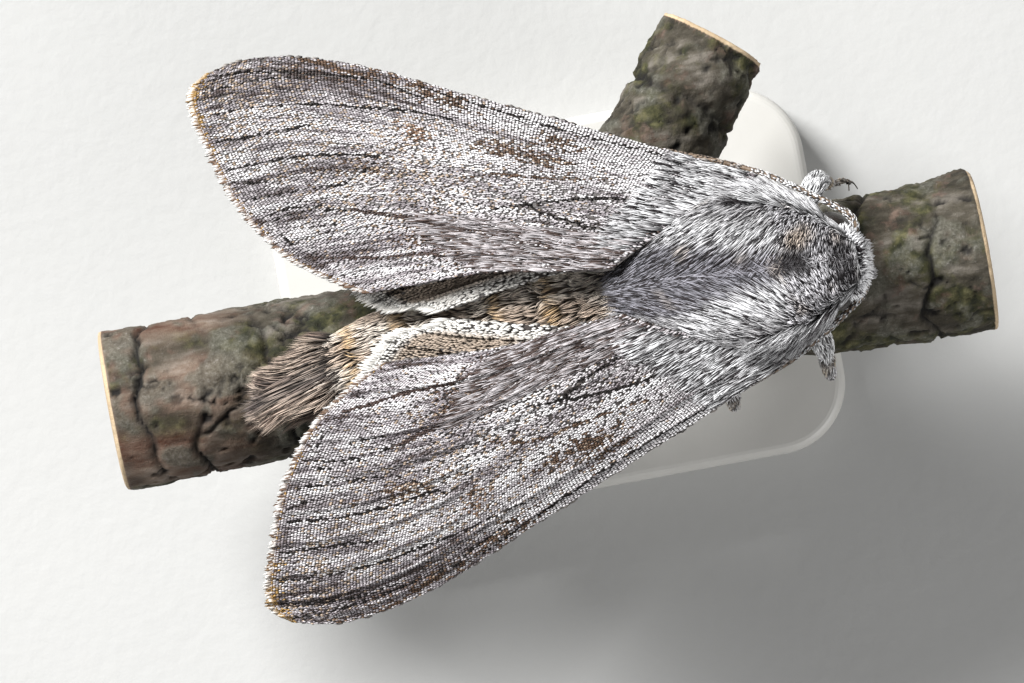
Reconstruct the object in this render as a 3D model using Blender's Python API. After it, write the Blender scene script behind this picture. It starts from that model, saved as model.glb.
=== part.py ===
"""A hooded noctuid moth, life size, standing on a cut length of branch on a small display stand.

The floor is z = 0 and the centre of the stand's underside is the origin. The moth's body lies along X
with its head towards +X, its left side is +Y, and the branch runs under it along X.
Lengths below are millimetres, and MM turns them into Blender's metres.
"""

import math
import random

import bmesh
import bpy
from mathutils import Matrix, Vector

MM = 0.001
GAP = 0.3  # between two pieces that meet

# Display stand
BASE_LENGTH = 19.0
BASE_WIDTH = 13.0
BASE_THICKNESS = 2.2
BASE_CORNER = 2.5
BASE_EDGE = 0.35
BASE_CORNER_STEPS = 6
BASE_EDGE_STEPS = 2
ROD_RADIUS = 0.8
ROD_X = {"stand_rod_front": 5.5, "stand_rod_rear": -5.5}
ROD_SIDES = 16

# Branch, cut at both ends, with the stub of its side shoot
BRANCH_RADIUS = 2.7
BRANCH_FRONT = 14.6
BRANCH_BACK = -15.6
BRANCH_Y = -0.7
BRANCH_Z = 10.2
BRANCH_SIDES = 16
BRANCH_RINGS = 34
CRACKS = (-14.2, -12.4, -9.8, -6.2, -2.9, 1.2, 4.9, 8.0, 10.6, 12.6)  # where they cross the bark, along x
CRACK_DEPTH = 0.28
CRACK_HALF_WIDTH = 0.28
CRACK_WANDER = 0.35
# Swells of the wood: height, how fast each turns along x and round the branch, and its start
BARK_SWELLS = ((0.12, 0.42, 0, 1.0), (0.08, 0.5, 3, 0.0))
KNOB = 0.06
SHOOT_RADIUS = 2.0
SHOOT_TAPER = (1.15, 0.95)  # share of its radius at the root and at the cut
SHOOT_KNOB = 0.09
SHOOT_KNOB_STEP = 2.3
SHOOT_ROOT = (-0.2, -0.7, 10.1)
SHOOT_END = (6.9, 8.0, 9.4)
SHOOT_RINGS = 9
BARK_SEED = 7

SQUARENESS = 2.3  # of the body's cross sections, 2 being round

# Midline of the moth seen from above: x, y
SPINE = ((10.6, -0.45), (8.9, -0.12), (6.5, 0.0), (4.1, 0.12), (2.1, 0.2), (-0.5, 0.05),
         (-2.8, -0.04), (-4.8, -0.2), (-7.3, -0.58), (-9.0, -1.0), (-10.8, -1.4))

# Outlines over the coat, from the front back: x, half width, lowest z, highest z
HEAD = ((10.2, 0.45, 14.6, 15.5), (9.9, 0.7, 14.2, 15.85), (9.4, 0.8, 14.0, 16.0), (8.8, 0.8, 13.95, 16.0),
        (8.2, 0.8, 14.1, 15.8), (7.85, 0.6, 14.4, 15.5))
COLLAR = ((9.9, 1.0, 16.6, 17.4), (9.5, 1.3, 16.45, 18.0), (8.9, 1.75, 16.3, 18.5), (8.3, 2.15, 16.1, 18.75),
          (7.8, 2.5, 15.9, 18.85))
THORAX = ((7.5, 2.65, 14.6, 18.9), (7.0, 2.85, 14.3, 19.05), (6.1, 2.9, 14.1, 19.1), (5.0, 2.7, 14.0, 18.95),
          (3.9, 2.25, 14.1, 18.55), (3.0, 1.75, 14.2, 18.1), (2.2, 1.25, 14.3, 17.5))
ABDOMEN = ((1.9, 1.25, 14.1, 16.3), (0.4, 1.6, 13.7, 16.05), (-1.2, 1.7, 13.55, 15.95),
           (-3.2, 1.65, 13.55, 15.85), (-5.2, 1.5, 13.55, 15.7), (-6.8, 1.3, 13.6, 15.5),
           (-7.6, 1.15, 13.65, 15.35))
TAIL = ((-7.9, 1.15, 13.65, 15.3), (-8.6, 1.05, 13.65, 15.2), (-9.3, 0.8, 13.75, 15.0))
ABDOMEN_SEGMENTS = 7
ABDOMEN_WAIST = 0.1  # how far the joints between segments are drawn in
WAIST_SHARE = 0.14  # of a segment, over which it narrows to its joint

EYE_X = 9.35
EYE_SIDE = 0.95
EYE_Z = 15.05
EYE_RADIUS = 0.72

# Forewing outline of the left side, seen from above: x, y
FORE_COSTA = ((7.2, 3.1), (3.2, 4.95), (-1.7, 7.2), (-5.6, 8.95), (-8.6, 9.65), (-10.4, 9.4))
FORE_MARGIN = ((-10.4, 9.4), (-11.0, 8.6), (-10.65, 6.9), (-9.9, 4.8), (-8.4, 2.75), (-6.1, 1.25))
FORE_INNER = ((2.0, 0.8), (0.3, 0.95), (-2.3, 1.3), (-6.1, 1.25))
FORE_ROOT = ((7.2, 3.1), (5.6, 2.2), (3.6, 1.6), (2.0, 0.8))
# Veins: place across the wing from front edge to inner edge, and where along it each starts
FORE_VEINS = ((0.09, 0.0), (0.2, 0.0), (0.31, 0.5), (0.42, 0.5), (0.52, 0.5), (0.62, 0.0), (0.73, 0.35),
              (0.88, 0.0))

# Hindwing outline of the left side: x, y
HIND_COSTA = ((3.9, 2.2), (0.5, 4.0), (-3.6, 5.6), (-6.6, 6.0))
HIND_MARGIN = ((-6.6, 6.0), (-7.7, 4.8), (-7.3, 2.6), (-6.3, 1.1), (-5.4, 0.4), (-4.4, 0.35), (-3.8, 0.1))
HIND_INNER = ((1.7, 0.9), (0.2, 0.9), (-1.6, 0.55), (-3.8, 0.1))
HIND_ROOT = ((3.9, 2.2), (2.8, 1.6), (1.7, 0.9))
HIND_VEINS = ((0.12, 0.0), (0.3, 0.35), (0.45, 0.35), (0.6, 0.35), (0.78, 0.0))

# How the wings lie
WING_THICKNESS = 0.5
WING_HEIGHT = 18.15
WING_SLOPE_BACK = 0.055
WING_SLOPE_OUT = 0.33
WING_CAMBER = 0.03
WING_AXIS = ((6.0, 2.6), (-10.8, 6.5))
VEIN_HEIGHT = 0.12
VEIN_HALF_WIDTH = 0.018  # as a share of the way across the wing
VEIN_CLEAR = 1.8 * VEIN_HALF_WIDTH  # other mesh lines keep this far from a vein
VEIN_RISE = 0.08  # share of the wing's length over which a vein rises from nothing
VEIN_FALL = 0.1  # share over which it sinks towards the margin
VEIN_END = 0.3  # share of its height that is left there
WING_LAYER = WING_THICKNESS + GAP + VEIN_HEIGHT  # from the top of the forewing to the top of the hindwing
CLEARANCE_SPREAD = 1.5  # a wing's clearance shape grows this much more sideways than up
# How far each wing is turned about its root from the outlines above, in degrees, positive outwards
FORE_TURN = {"left": 1.6, "right": -2.2}
HIND_TURN = {"left": 4.0, "right": -3.0}
FORE_MESH = (12, 7)  # steps from root to margin, even lines across
HIND_MESH = (10, 6)

# Feelers and palps: x, y out from the midline, z and radius
ANTENNA = ((9.75, 0.55, 15.6, 0.3), (10.05, 0.8, 16.0, 0.28), (9.95, 1.25, 16.05, 0.26),
           (9.4, 1.75, 15.95, 0.25), (8.5, 2.35, 15.75, 0.25), (7.2, 3.15, 15.5, 0.25),
           (5.2, 4.0, 15.2, 0.25), (2.8, 4.85, 14.9, 0.24), (0.6, 5.5, 14.6, 0.2), (-1.2, 5.9, 14.35, 0.12))
ANTENNA_OUT = {"left": 0.15, "right": -0.1}
ANTENNA_LEAN = (5.0, 9.5)  # between these x the feelers take up the head's lean
PALP = ((9.75, 0.35, 14.3, 0.3), (10.25, 0.42, 14.2, 0.3), (10.6, 0.44, 14.3, 0.27),
        (10.85, 0.42, 14.5, 0.15))

# Legs, in order: points of the coxa, femur and knee (x, y, z, radius), then points of the shin and foot
# laid round the branch (x, degrees round it from the top, height of the centre over the bark, radius)
LEGS = {
    "foreleg_left": (((7.9, 0.5, 14.6, 0.5), (8.5, 1.5, 14.5, 0.4), (9.2, 2.5, 14.2, 0.34)),
                     ((9.7, 58, 1.0, 0.3), (10.0, 70, 0.66, 0.27), (10.3, 82, 0.58, 0.25),
                      (10.5, 94, 0.5, 0.18))),
    "foreleg_right": (((7.6, -0.7, 14.6, 0.5), (8.0, -1.7, 14.5, 0.4), (8.4, -2.6, 14.1, 0.34)),
                      ((8.6, -60, 1.1, 0.3), (8.7, -71, 0.66, 0.27), (8.7, -83, 0.58, 0.25),
                       (8.6, -95, 0.5, 0.18))),
    "midleg_left": (((6.3, 0.9, 14.3, 0.5), (5.9, 2.1, 14.1, 0.4), (5.7, 3.2, 13.7, 0.34)),
                    ((6.0, 62, 1.3, 0.3), (6.3, 70, 0.7, 0.27), (6.7, 80, 0.58, 0.25),
                     (7.1, 88, 0.5, 0.18))),
    "midleg_right": (((6.0, -0.9, 14.3, 0.5), (5.6, -2.2, 14.2, 0.4), (5.2, -3.6, 13.8, 0.34)),
                     ((5.2, -62, 1.5, 0.3), (5.3, -72, 0.74, 0.27), (5.6, -84, 0.58, 0.25),
                      (5.9, -95, 0.5, 0.18))),
    "hindleg_left": (((4.2, 0.9, 14.3, 0.5), (3.0, 2.1, 14.1, 0.4), (1.6, 3.3, 13.8, 0.34)),
                     ((0.3, 56, 1.8, 0.3), (-1.2, 58, 0.9, 0.28), (-2.4, 60, 0.58, 0.25),
                      (-3.4, 62, 0.5, 0.18))),
    "hindleg_right": (((4.2, -0.8, 14.3, 0.5), (3.0, -2.2, 14.1, 0.4), (1.6, -3.6, 13.8, 0.34)),
                      ((0.5, -58, 1.5, 0.3), (-0.8, -64, 0.76, 0.28), (-2.0, -70, 0.58, 0.25),
                       (-3.0, -74, 0.5, 0.18))),
}

# Locks of hair scales. Each row: x of the roots, widest angle from the top in degrees, how many across,
# length, width, and how far the tips swing in towards the midline and out from the body over their length
CORE_DEPTH = 0.5
WING_SOCKET = 0.05  # how deep the wing roots' clearance may cut into the thorax core
THORAX_LOCKS = ((7.35, 62, 9, 2.0, 0.85, 0.07, 0.0), (6.5, 58, 8, 2.2, 0.95, 0.1, 0.0),
                (5.6, 56, 8, 2.2, 0.95, 0.14, 0.0), (4.7, 54, 7, 2.1, 0.9, 0.17, 0.0),
                (3.9, 50, 6, 2.0, 0.85, 0.24, 0.0), (3.1, 45, 4, 1.9, 0.75, 0.2, 0.05))
COLLAR_LOCKS = ((9.7, 58, 4, 1.6, 0.75, -0.3, 0.06), (9.15, 66, 6, 1.5, 0.8, -0.25, 0.04),
                (8.6, 72, 7, 1.2, 0.85, -0.2, 0.03))
TAIL_LOCKS = ((-8.1, 165, 11, 2.1, 0.8, 0.0, 0.2), (-8.7, 165, 9, 1.9, 0.75, 0.0, 0.16),
              (-9.1, 150, 6, 1.6, 0.65, 0.0, 0.08))
FRINGE_LOCKS = 7  # scale tufts across the front of the head
FRINGE_X = 9.75
FRINGE_CURVE = 0.25  # how far the outer tufts stand back
FRINGE_HALF_WIDTH = 0.53
FRINGE_Z = 15.3
FRINGE_LENGTH = 1.05
FRINGE_WIDTH = 0.42
FRINGE_WAY = (1.0, 0.55, 0.05)  # ahead, out at the outer tufts, and up
LOCK_THICKNESS = 0.5
LOCK_BEND = 0.1
LOCK_ARCH = math.radians(135)  # part of a sine wave that a lock's bend follows
LOCK_VARY = 0.12
LOCK_SINK = 0.18
FUR_SEED = 3
# Stations of a lock: share of its length, share of its width, share of its thickness
LOCK_SHAPE = ((-0.14, 0.7, 1.0), (0.25, 1.0, 1.0), (0.62, 0.8, 0.8), (1.0, 0.14, 0.25))

BODY_SIDES = 18
LIMB_SIDES = 7
EYE_SIDES = 12

COLOURS = {
    "wing_scales": ((0.42, 0.39, 0.38), 0.75, 0.0),
    "hindwing_scales": ((0.62, 0.57, 0.5), 0.75, 0.0),
    "grey_fur": ((0.4, 0.38, 0.37), 0.85, 0.0),
    "tail_fur": ((0.42, 0.34, 0.26), 0.85, 0.0),
    "feeler": ((0.3, 0.24, 0.19), 0.7, 0.0),
    "leg_scales": ((0.5, 0.45, 0.4), 0.7, 0.0),
    "eye": ((0.05, 0.035, 0.025), 0.2, 0.0),
    "bark": ((0.22, 0.17, 0.13), 0.9, 0.0),
    "stand_base": ((0.8, 0.79, 0.76), 0.5, 0.0),
    "stand_rod": ((0.6, 0.6, 0.6), 0.3, 1.0),
}


def clear_scene():
    for obj in list(bpy.data.objects):
        bpy.data.objects.remove(obj)


def material(slot, name):
    """A material for one node, in the slot's colour and finish."""
    made = bpy.data.materials.new(name)
    made.use_nodes = True
    shader = made.node_tree.nodes["Principled BSDF"]
    colour, roughness, metallic = COLOURS[slot]
    shader.inputs["Base Color"].default_value = (*colour, 1.0)
    shader.inputs["Roughness"].default_value = roughness
    shader.inputs["Metallic"].default_value = metallic
    return made


def finish(bm, name, slot):
    """Turns a closed mesh made in millimetres into an object in metres."""
    bmesh.ops.remove_doubles(bm, verts=bm.verts, dist=1e-4)
    bmesh.ops.recalc_face_normals(bm, faces=bm.faces)
    bmesh.ops.scale(bm, vec=(MM, MM, MM), verts=bm.verts)
    mesh = bpy.data.meshes.new(name)
    bm.to_mesh(mesh)
    bm.free()
    mesh.materials.append(material(slot, name))
    obj = bpy.data.objects.new(name, mesh)
    bpy.context.scene.collection.objects.link(obj)
    return obj


def on_curve(points, share):
    """The point at that share of the way along a smooth curve through the points."""
    last = len(points) - 1
    place = min(max(share, 0.0), 1.0) * last
    i = min(int(place), last - 1)
    t = place - i
    a = Vector(points[max(i - 1, 0)])
    b = Vector(points[i])
    c = Vector(points[i + 1])
    d = Vector(points[min(i + 2, last)])
    bend = 2 * a - 5 * b + 4 * c - d
    twist = 3 * b - a - 3 * c + d
    return 0.5 * (2 * b + (c - a) * t + bend * t ** 2 + twist * t ** 3)


def between(table, x):
    """The values in a table of rows that start with a falling x, read straight between its rows."""
    for (x1, *one), (x0, *other) in zip(table, table[1:]):
        if x >= x0:
            t = min((x - x0) / (x1 - x0), 1.0)
            return [b + (a - b) * t for a, b in zip(one, other)]
    return list(table[-1][1:])


def midline(x):
    """Sideways place of the body's midline at x."""
    return between(SPINE, x)[0]


def tube(bm, along, around, place):
    """A closed tube whose point at each step along and around is place(i, j)."""
    grid = bmesh.ops.create_grid(bm, x_segments=along, y_segments=around, size=0.5)
    for vert in grid["verts"]:
        i = round((vert.co.x + 0.5) * along)
        j = round((vert.co.y + 0.5) * around)
        vert.co = place(i, j % around)
    bmesh.ops.remove_doubles(bm, verts=grid["verts"], dist=1e-5)
    bmesh.ops.holes_fill(bm, edges=[edge for edge in bm.edges if edge.is_boundary], sides=around)
    bmesh.ops.triangulate(bm, faces=[face for face in bm.faces if len(face.verts) > 4])


def round_body(name, slot, outline, grow=0.0, xs=None, waist=None):
    """A body piece lofted through its outline, with rounded cross sections that are a little square."""
    xs = list(xs or [row[0] for row in outline])
    if grow > 0.0:
        xs = [xs[0] + grow, *xs, xs[-1] - grow]

    def place(i, j):
        half, low, high = between(outline, xs[i])
        extra = grow - (waist(xs[i]) if waist else 0.0)
        angle = 2 * math.pi * j / BODY_SIDES
        c, s = math.cos(angle), math.sin(angle)
        reach = (abs(c) ** SQUARENESS + abs(s) ** SQUARENESS) ** (-1 / SQUARENESS)
        y = midline(xs[i]) + (half + extra) * c * reach
        z = (low + high) / 2 + ((high - low) / 2 + extra) * s * reach
        return Vector((xs[i], y, z))

    bm = bmesh.new()
    tube(bm, len(xs) - 1, BODY_SIDES, place)
    return finish(bm, name, slot)


def limb(name, slot, points, sides=LIMB_SIDES, steps=2):
    """A round limb along a smooth curve through points of x, y, z and radius."""
    count = (len(points) - 1) * steps
    spots = [on_curve(points, i / count) for i in range(count + 1)]
    frames = []
    side = Vector((0, 0, 1)).cross(spots[1].xyz - spots[0].xyz)
    for i in range(count + 1):
        ahead = (spots[min(i + 1, count)].xyz - spots[max(i - 1, 0)].xyz).normalized()
        side = (side - ahead * side.dot(ahead)).normalized()
        frames.append((side, ahead.cross(side)))

    def place(i, j):
        angle = 2 * math.pi * j / sides
        across, up = frames[i]
        return spots[i].xyz + (across * math.cos(angle) + up * math.sin(angle)) * spots[i].w

    bm = bmesh.new()
    tube(bm, count, sides, place)
    return finish(bm, name, slot)


def ball(name, slot, centre, radius):
    bm = bmesh.new()
    bmesh.ops.create_uvsphere(bm, u_segments=EYE_SIDES, v_segments=EYE_SIDES // 2, radius=radius)
    bmesh.ops.translate(bm, vec=centre, verts=bm.verts)
    return finish(bm, name, slot)


def keep_largest(obj):
    """Leaves only the mesh's longest closed surface, and splits its faces into triangles."""
    bm = bmesh.new()
    bm.from_mesh(obj.data)
    unseen = set(bm.faces)
    shells = []
    while unseen:
        shell = set()
        waiting = [unseen.pop()]
        while waiting:
            face = waiting.pop()
            shell.add(face)
            for edge in face.edges:
                for other in edge.link_faces:
                    if other in unseen:
                        unseen.discard(other)
                        waiting.append(other)
        xs = [vert.co.x for face in shell for vert in face.verts]
        shells.append((max(xs) - min(xs), len(shell), shell))
    shells.sort(key=lambda item: item[:2])
    spare = [face for _, _, shell in shells[:-1] for face in shell]
    bmesh.ops.delete(bm, geom=spare, context="FACES")
    bmesh.ops.triangulate(bm, faces=bm.faces)
    bm.to_mesh(obj.data)
    bm.free()


def combine(obj, others, operation, solver="EXACT"):
    """Joins the other objects to this one, or cuts them from it, and removes them."""
    group = bpy.data.collections.new(obj.name + "_tools")
    bpy.context.scene.collection.children.link(group)
    for other in others:
        bpy.context.scene.collection.objects.unlink(other)
        group.objects.link(other)
    modifier = obj.modifiers.new("join", "BOOLEAN")
    modifier.operation = operation
    modifier.operand_type = "COLLECTION"
    modifier.collection = group
    modifier.solver = solver
    bpy.context.view_layer.update()
    graph = bpy.context.evaluated_depsgraph_get()
    result = bpy.data.meshes.new_from_object(obj.evaluated_get(graph))
    obj.modifiers.clear()
    result.materials.clear()
    result.materials.append(obj.data.materials[0])
    result.polygons.foreach_set("material_index", [0] * len(result.polygons))
    obj.data = result
    for other in others:
        bpy.data.objects.remove(other)
    bpy.data.collections.remove(group)
    keep_largest(obj)


def wing_height(x, y):
    """Height of the forewing's smooth upper surface over a point of the plan, y being measured outwards."""
    (ax, ay), (bx, by) = WING_AXIS
    across = Vector((bx - ax, by - ay)).normalized()
    off = (x - ax) * across.y - (y - ay) * across.x
    return WING_HEIGHT + WING_SLOPE_BACK * x - WING_SLOPE_OUT * y - WING_CAMBER * off * off


def on_wing(outline, u, v):
    """Place in the plan at u of the way from root to margin and v from the front edge to the inner edge."""
    costa, margin, inner, root = outline
    front = on_curve(costa, u)
    back = on_curve(inner, u)
    start = on_curve(root, v)
    end = on_curve(margin, v)
    corners = (Vector(costa[0]) * (1 - u) + Vector(costa[-1]) * u) * (1 - v)
    corners += (Vector(inner[0]) * (1 - u) + Vector(inner[-1]) * u) * v
    return front * (1 - v) + back * v + start * (1 - u) + end * u - corners


def vein_lines(veins, spare):
    """Places across the wing of the mesh lines: each vein's crest and feet, and even ones between."""
    lines = set()
    for v, _ in veins:
        lines |= {v - VEIN_HALF_WIDTH, v, v + VEIN_HALF_WIDTH}
    for i in range(spare + 1):
        if all(abs(i / spare - v) > VEIN_CLEAR for v, _ in veins):
            lines.add(i / spare)
    return sorted(lines)


def vein_rise(veins, u, v):
    """How far the veins raise the wing there."""
    for place, start in veins:
        if abs(v - place) < VEIN_HALF_WIDTH / 2:
            risen = min(max((u - start) / VEIN_RISE, 0.0), 1.0)
            return VEIN_HEIGHT * risen * min((1.0 - u) / VEIN_FALL + VEIN_END, 1.0)
    return 0.0


def wing(name, kind, word, grow=0.0):
    """A wing as a thin curved plate with its veins raised. grow thickens it into a clearance shape."""
    if kind == "forewing":
        outline, veins = (FORE_COSTA, FORE_MARGIN, FORE_INNER, FORE_ROOT), FORE_VEINS
        mesh, turn, drop, slot = FORE_MESH, FORE_TURN[word], 0.0, "wing_scales"
    else:
        outline, veins = (HIND_COSTA, HIND_MARGIN, HIND_INNER, HIND_ROOT), HIND_VEINS
        mesh, turn, drop, slot = HIND_MESH, HIND_TURN[word], WING_LAYER, "hindwing_scales"
    steps, spare = mesh
    side = 1 if word == "left" else -1
    lines = vein_lines(veins, spare)
    root = Vector(outline[3][1])
    spin = Matrix.Rotation(math.radians(-turn), 2)
    centre = root + spin @ (on_wing(outline, 0.5, 0.5) - root)
    bm = bmesh.new()
    bmesh.ops.create_grid(bm, x_segments=steps, y_segments=len(lines) - 1, size=0.5)
    bmesh.ops.triangulate(bm, faces=bm.faces)
    copied = bmesh.ops.extrude_face_region(bm, geom=bm.faces)
    upper = {item for item in copied["geom"] if isinstance(item, bmesh.types.BMVert)}
    for vert in bm.verts:
        u = round((vert.co.x + 0.5) * steps) / steps
        v = lines[round((vert.co.y + 0.5) * (len(lines) - 1))]
        plan = root + spin @ (on_wing(outline, u, v) - root)
        z = wing_height(plan.x, plan.y) - drop
        if vert in upper:
            z += grow + vein_rise(veins, u, v)
        else:
            z -= WING_THICKNESS + grow
        plan += (plan - centre).normalized() * grow * CLEARANCE_SPREAD
        vert.co = (plan.x, plan.y * side, z)
    return finish(bm, name, slot)


def lock(name, slot, root, along, normal, length, width):
    """A flat tapered lock of hair scales that rises from its sunk root and bends back to the coat."""
    along = along.normalized()
    side = along.cross(normal).normalized()
    up = side.cross(along).normalized()
    bm = bmesh.new()
    loops = []
    for share, wide, thick in LOCK_SHAPE:
        arch = LOCK_BEND * length * math.sin(max(share, 0.0) * LOCK_ARCH)
        centre = root + along * (share * length) + up * arch
        half, rise = width * wide / 2, LOCK_THICKNESS * thick / 2
        corners = (side * half, up * rise, side * -half, up * -rise)
        verts = [bm.verts.new(centre + corner) for corner in corners]
        loops.append([bm.edges.new((verts[i], verts[(i + 1) % 4])) for i in range(4)])
    for one, other in zip(loops, loops[1:]):
        bmesh.ops.bridge_loops(bm, edges=one + other)
    bmesh.ops.holes_fill(bm, edges=loops[0] + loops[-1], sides=4)
    bmesh.ops.triangulate(bm, faces=bm.faces)
    return finish(bm, name, slot)


def coat(name, slot, outline, rows, seed):
    """Locks in rows over a body piece, lying back along it and turned in towards the midline."""
    draw = random.Random(seed)
    made = []
    for x, widest, count, length, width, swing, flare in rows:
        for k in range(count):
            place = 2 * (k + 0.5) / count - 1
            angle = math.radians(widest * place)
            root_x = x + draw.uniform(-LOCK_VARY, LOCK_VARY)
            half, low, high = between(outline, root_x)
            half, tall = half - CORE_DEPTH - LOCK_SINK, (high - low) / 2 - CORE_DEPTH - LOCK_SINK
            normal = Vector((0, math.sin(angle) / half, math.cos(angle) / tall)).normalized()
            root = Vector((root_x, midline(root_x) + half * math.sin(angle),
                           (low + high) / 2 + tall * math.cos(angle)))
            tip_half, tip_low, tip_high = between(outline, root_x - length)
            rise = flare * length * (1.0 if abs(angle) < math.pi / 2 else abs(math.sin(angle)))
            tip_half, tip_tall = tip_half + rise, (tip_high - tip_low) / 2 + rise
            tip = Vector((root_x - length, midline(root_x - length) + tip_half * math.sin(angle),
                          (tip_low + tip_high) / 2 + tip_tall * math.cos(angle)))
            tip += Vector((0, -math.cos(angle), math.sin(angle))) * swing * place * length
            reach = length * (1 + draw.uniform(-LOCK_VARY, LOCK_VARY))
            made.append(lock(f"{name}_lock", slot, root, tip - root, normal, reach, width))
    return made


def fringe():
    """Scale tufts that stand forward across the front of the head."""
    made = []
    for k in range(FRINGE_LOCKS):
        place = 2 * k / (FRINGE_LOCKS - 1) - 1
        root = Vector((FRINGE_X - FRINGE_CURVE * place * place,
                       midline(FRINGE_X) + FRINGE_HALF_WIDTH * place, FRINGE_Z))
        ahead, out, up = FRINGE_WAY
        along = Vector((ahead, out * place, up))
        made.append(lock("fringe_lock", "grey_fur", root, along, Vector((0, 0, 1)), FRINGE_LENGTH,
                         FRINGE_WIDTH))
    return made


def stand():
    bm = bmesh.new()
    bmesh.ops.create_cube(bm, size=1.0)
    bmesh.ops.scale(bm, vec=(BASE_LENGTH, BASE_WIDTH, BASE_THICKNESS), verts=bm.verts)
    bmesh.ops.translate(bm, vec=(0, 0, BASE_THICKNESS / 2), verts=bm.verts)
    upright = [e for e in bm.edges if abs(e.verts[0].co.z - e.verts[1].co.z) > BASE_THICKNESS / 2]
    bmesh.ops.bevel(bm, geom=upright, offset=BASE_CORNER, segments=BASE_CORNER_STEPS, affect="EDGES",
                    profile=0.5, material=-1)
    rim = [e for e in bm.edges if min(e.verts[0].co.z, e.verts[1].co.z) > BASE_THICKNESS * 0.9]
    bmesh.ops.bevel(bm, geom=rim, offset=BASE_EDGE, segments=BASE_EDGE_STEPS, affect="EDGES", profile=0.5,
                    material=-1)
    finish(bm, "stand_base", "stand_base")
    low, high = BASE_THICKNESS + GAP, BRANCH_Z
    for name, x in ROD_X.items():
        bm = bmesh.new()
        bmesh.ops.create_cone(bm, segments=ROD_SIDES, radius1=ROD_RADIUS, radius2=ROD_RADIUS, depth=high - low,
                              cap_ends=True)
        bmesh.ops.translate(bm, vec=(x, BRANCH_Y, (low + high) / 2), verts=bm.verts)
        combine(finish(bm, name, "stand_rod"), [branch_wood("clear_branch", GAP)], "DIFFERENCE")


def bark_swell(x, angle):
    """How far the wood stands out from its mean radius."""
    return sum(height * math.sin(along * x + around * angle + start)
               for height, along, around, start in BARK_SWELLS)


def bark_crack(x, angle):
    """Depth of the cross cracks of old bark."""
    off = min(abs(x - place - CRACK_WANDER * math.sin(2 * angle + place)) for place in CRACKS)
    return CRACK_DEPTH * math.exp(-(off / CRACK_HALF_WIDTH) ** 2)


def branch_wood(name, grow=0.0):
    """The branch with the stub of its side shoot."""
    draw = random.Random(BARK_SEED)
    step = (BRANCH_BACK - BRANCH_FRONT) / BRANCH_RINGS
    xs = [BRANCH_FRONT + step * i for i in range(BRANCH_RINGS + 1)]
    knobs = [[draw.uniform(-KNOB, KNOB) for _ in range(BRANCH_SIDES)] for _ in xs]

    def place(i, j):
        angle = 2 * math.pi * j / BRANCH_SIDES
        radius = BRANCH_RADIUS + bark_swell(xs[i], angle) - bark_crack(xs[i], angle) + knobs[i][j] + grow
        return Vector((xs[i], BRANCH_Y + radius * math.sin(angle), BRANCH_Z + radius * math.cos(angle)))

    bm = bmesh.new()
    tube(bm, BRANCH_RINGS, BRANCH_SIDES, place)
    wood = finish(bm, name, "bark")
    root, end = Vector(SHOOT_ROOT), Vector(SHOOT_END)
    ahead = (end - root).normalized()
    side = ahead.cross(Vector((0, 0, 1))).normalized()
    up = side.cross(ahead)

    def shoot_place(i, j):
        angle = 2 * math.pi * j / BRANCH_SIDES
        share = i / SHOOT_RINGS
        taper = SHOOT_TAPER[0] * (1 - share) + SHOOT_TAPER[1] * share
        radius = SHOOT_RADIUS * taper + SHOOT_KNOB * math.sin(SHOOT_KNOB_STEP * i + 3 * angle) + grow
        return root.lerp(end, share) + (side * math.cos(angle) + up * math.sin(angle)) * radius

    bm = bmesh.new()
    tube(bm, SHOOT_RINGS, BRANCH_SIDES, shoot_place)
    combine(wood, [finish(bm, "shoot", "bark")], "UNION")
    return wood


def round_branch(x, degrees, height, radius):
    """A point of a foot, placed round the branch at a height over its bark."""
    angle = math.radians(degrees)
    reach = BRANCH_RADIUS + bark_swell(x, angle) + height
    return (x, BRANCH_Y + reach * math.sin(angle), BRANCH_Z + reach * math.cos(angle), radius)


def legs():
    for name, (upper, lower) in LEGS.items():
        points = list(upper) + [round_branch(*row) for row in lower]
        combine(limb(name, "leg_scales", points),
                [round_body("clear_thorax", "grey_fur", THORAX, GAP - CORE_DEPTH),
                 round_body("clear_head", "grey_fur", HEAD, GAP),
                 branch_wood("clear_branch", GAP)], "DIFFERENCE")


def head():
    skull = round_body("head", "grey_fur", HEAD)
    combine(skull, fringe(), "UNION")
    for word, side in (("left", 1), ("right", -1)):
        centre = (EYE_X, midline(EYE_X) + side * EYE_SIDE, EYE_Z)
        eye = ball(f"eye_{word}", "eye", centre, EYE_RADIUS)
        feeler = []
        start, full = ANTENNA_LEAN
        for x, out, z, radius in ANTENNA:
            share = min(max((x - start) / (full - start), 0.0), 1.0)
            lean = midline(EYE_X) * share
            feeler.append((x, lean + side * (out + ANTENNA_OUT[word]), z, radius))
        antenna = limb(f"antenna_{word}", "feeler", feeler)
        palp = limb(f"palp_{word}", "grey_fur", [(x, midline(10.0) + side * out, z, r) for x, out, z, r in PALP])
        for piece in (eye, antenna, palp):
            clear = [round_body("clear_head", "grey_fur", HEAD, GAP)]
            if piece is antenna:
                clear.append(ball("clear_eye", "eye", centre, EYE_RADIUS + GAP))
            combine(piece, clear, "DIFFERENCE")


def collar():
    """The hood of long hair scales behind the head."""
    core = round_body("collar", "grey_fur", COLLAR, -CORE_DEPTH)
    combine(core, coat("collar", "grey_fur", COLLAR, COLLAR_LOCKS, FUR_SEED), "UNION", "MANIFOLD")
    combine(core, [round_body("clear_head", "grey_fur", HEAD, GAP)], "DIFFERENCE", "MANIFOLD")


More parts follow.
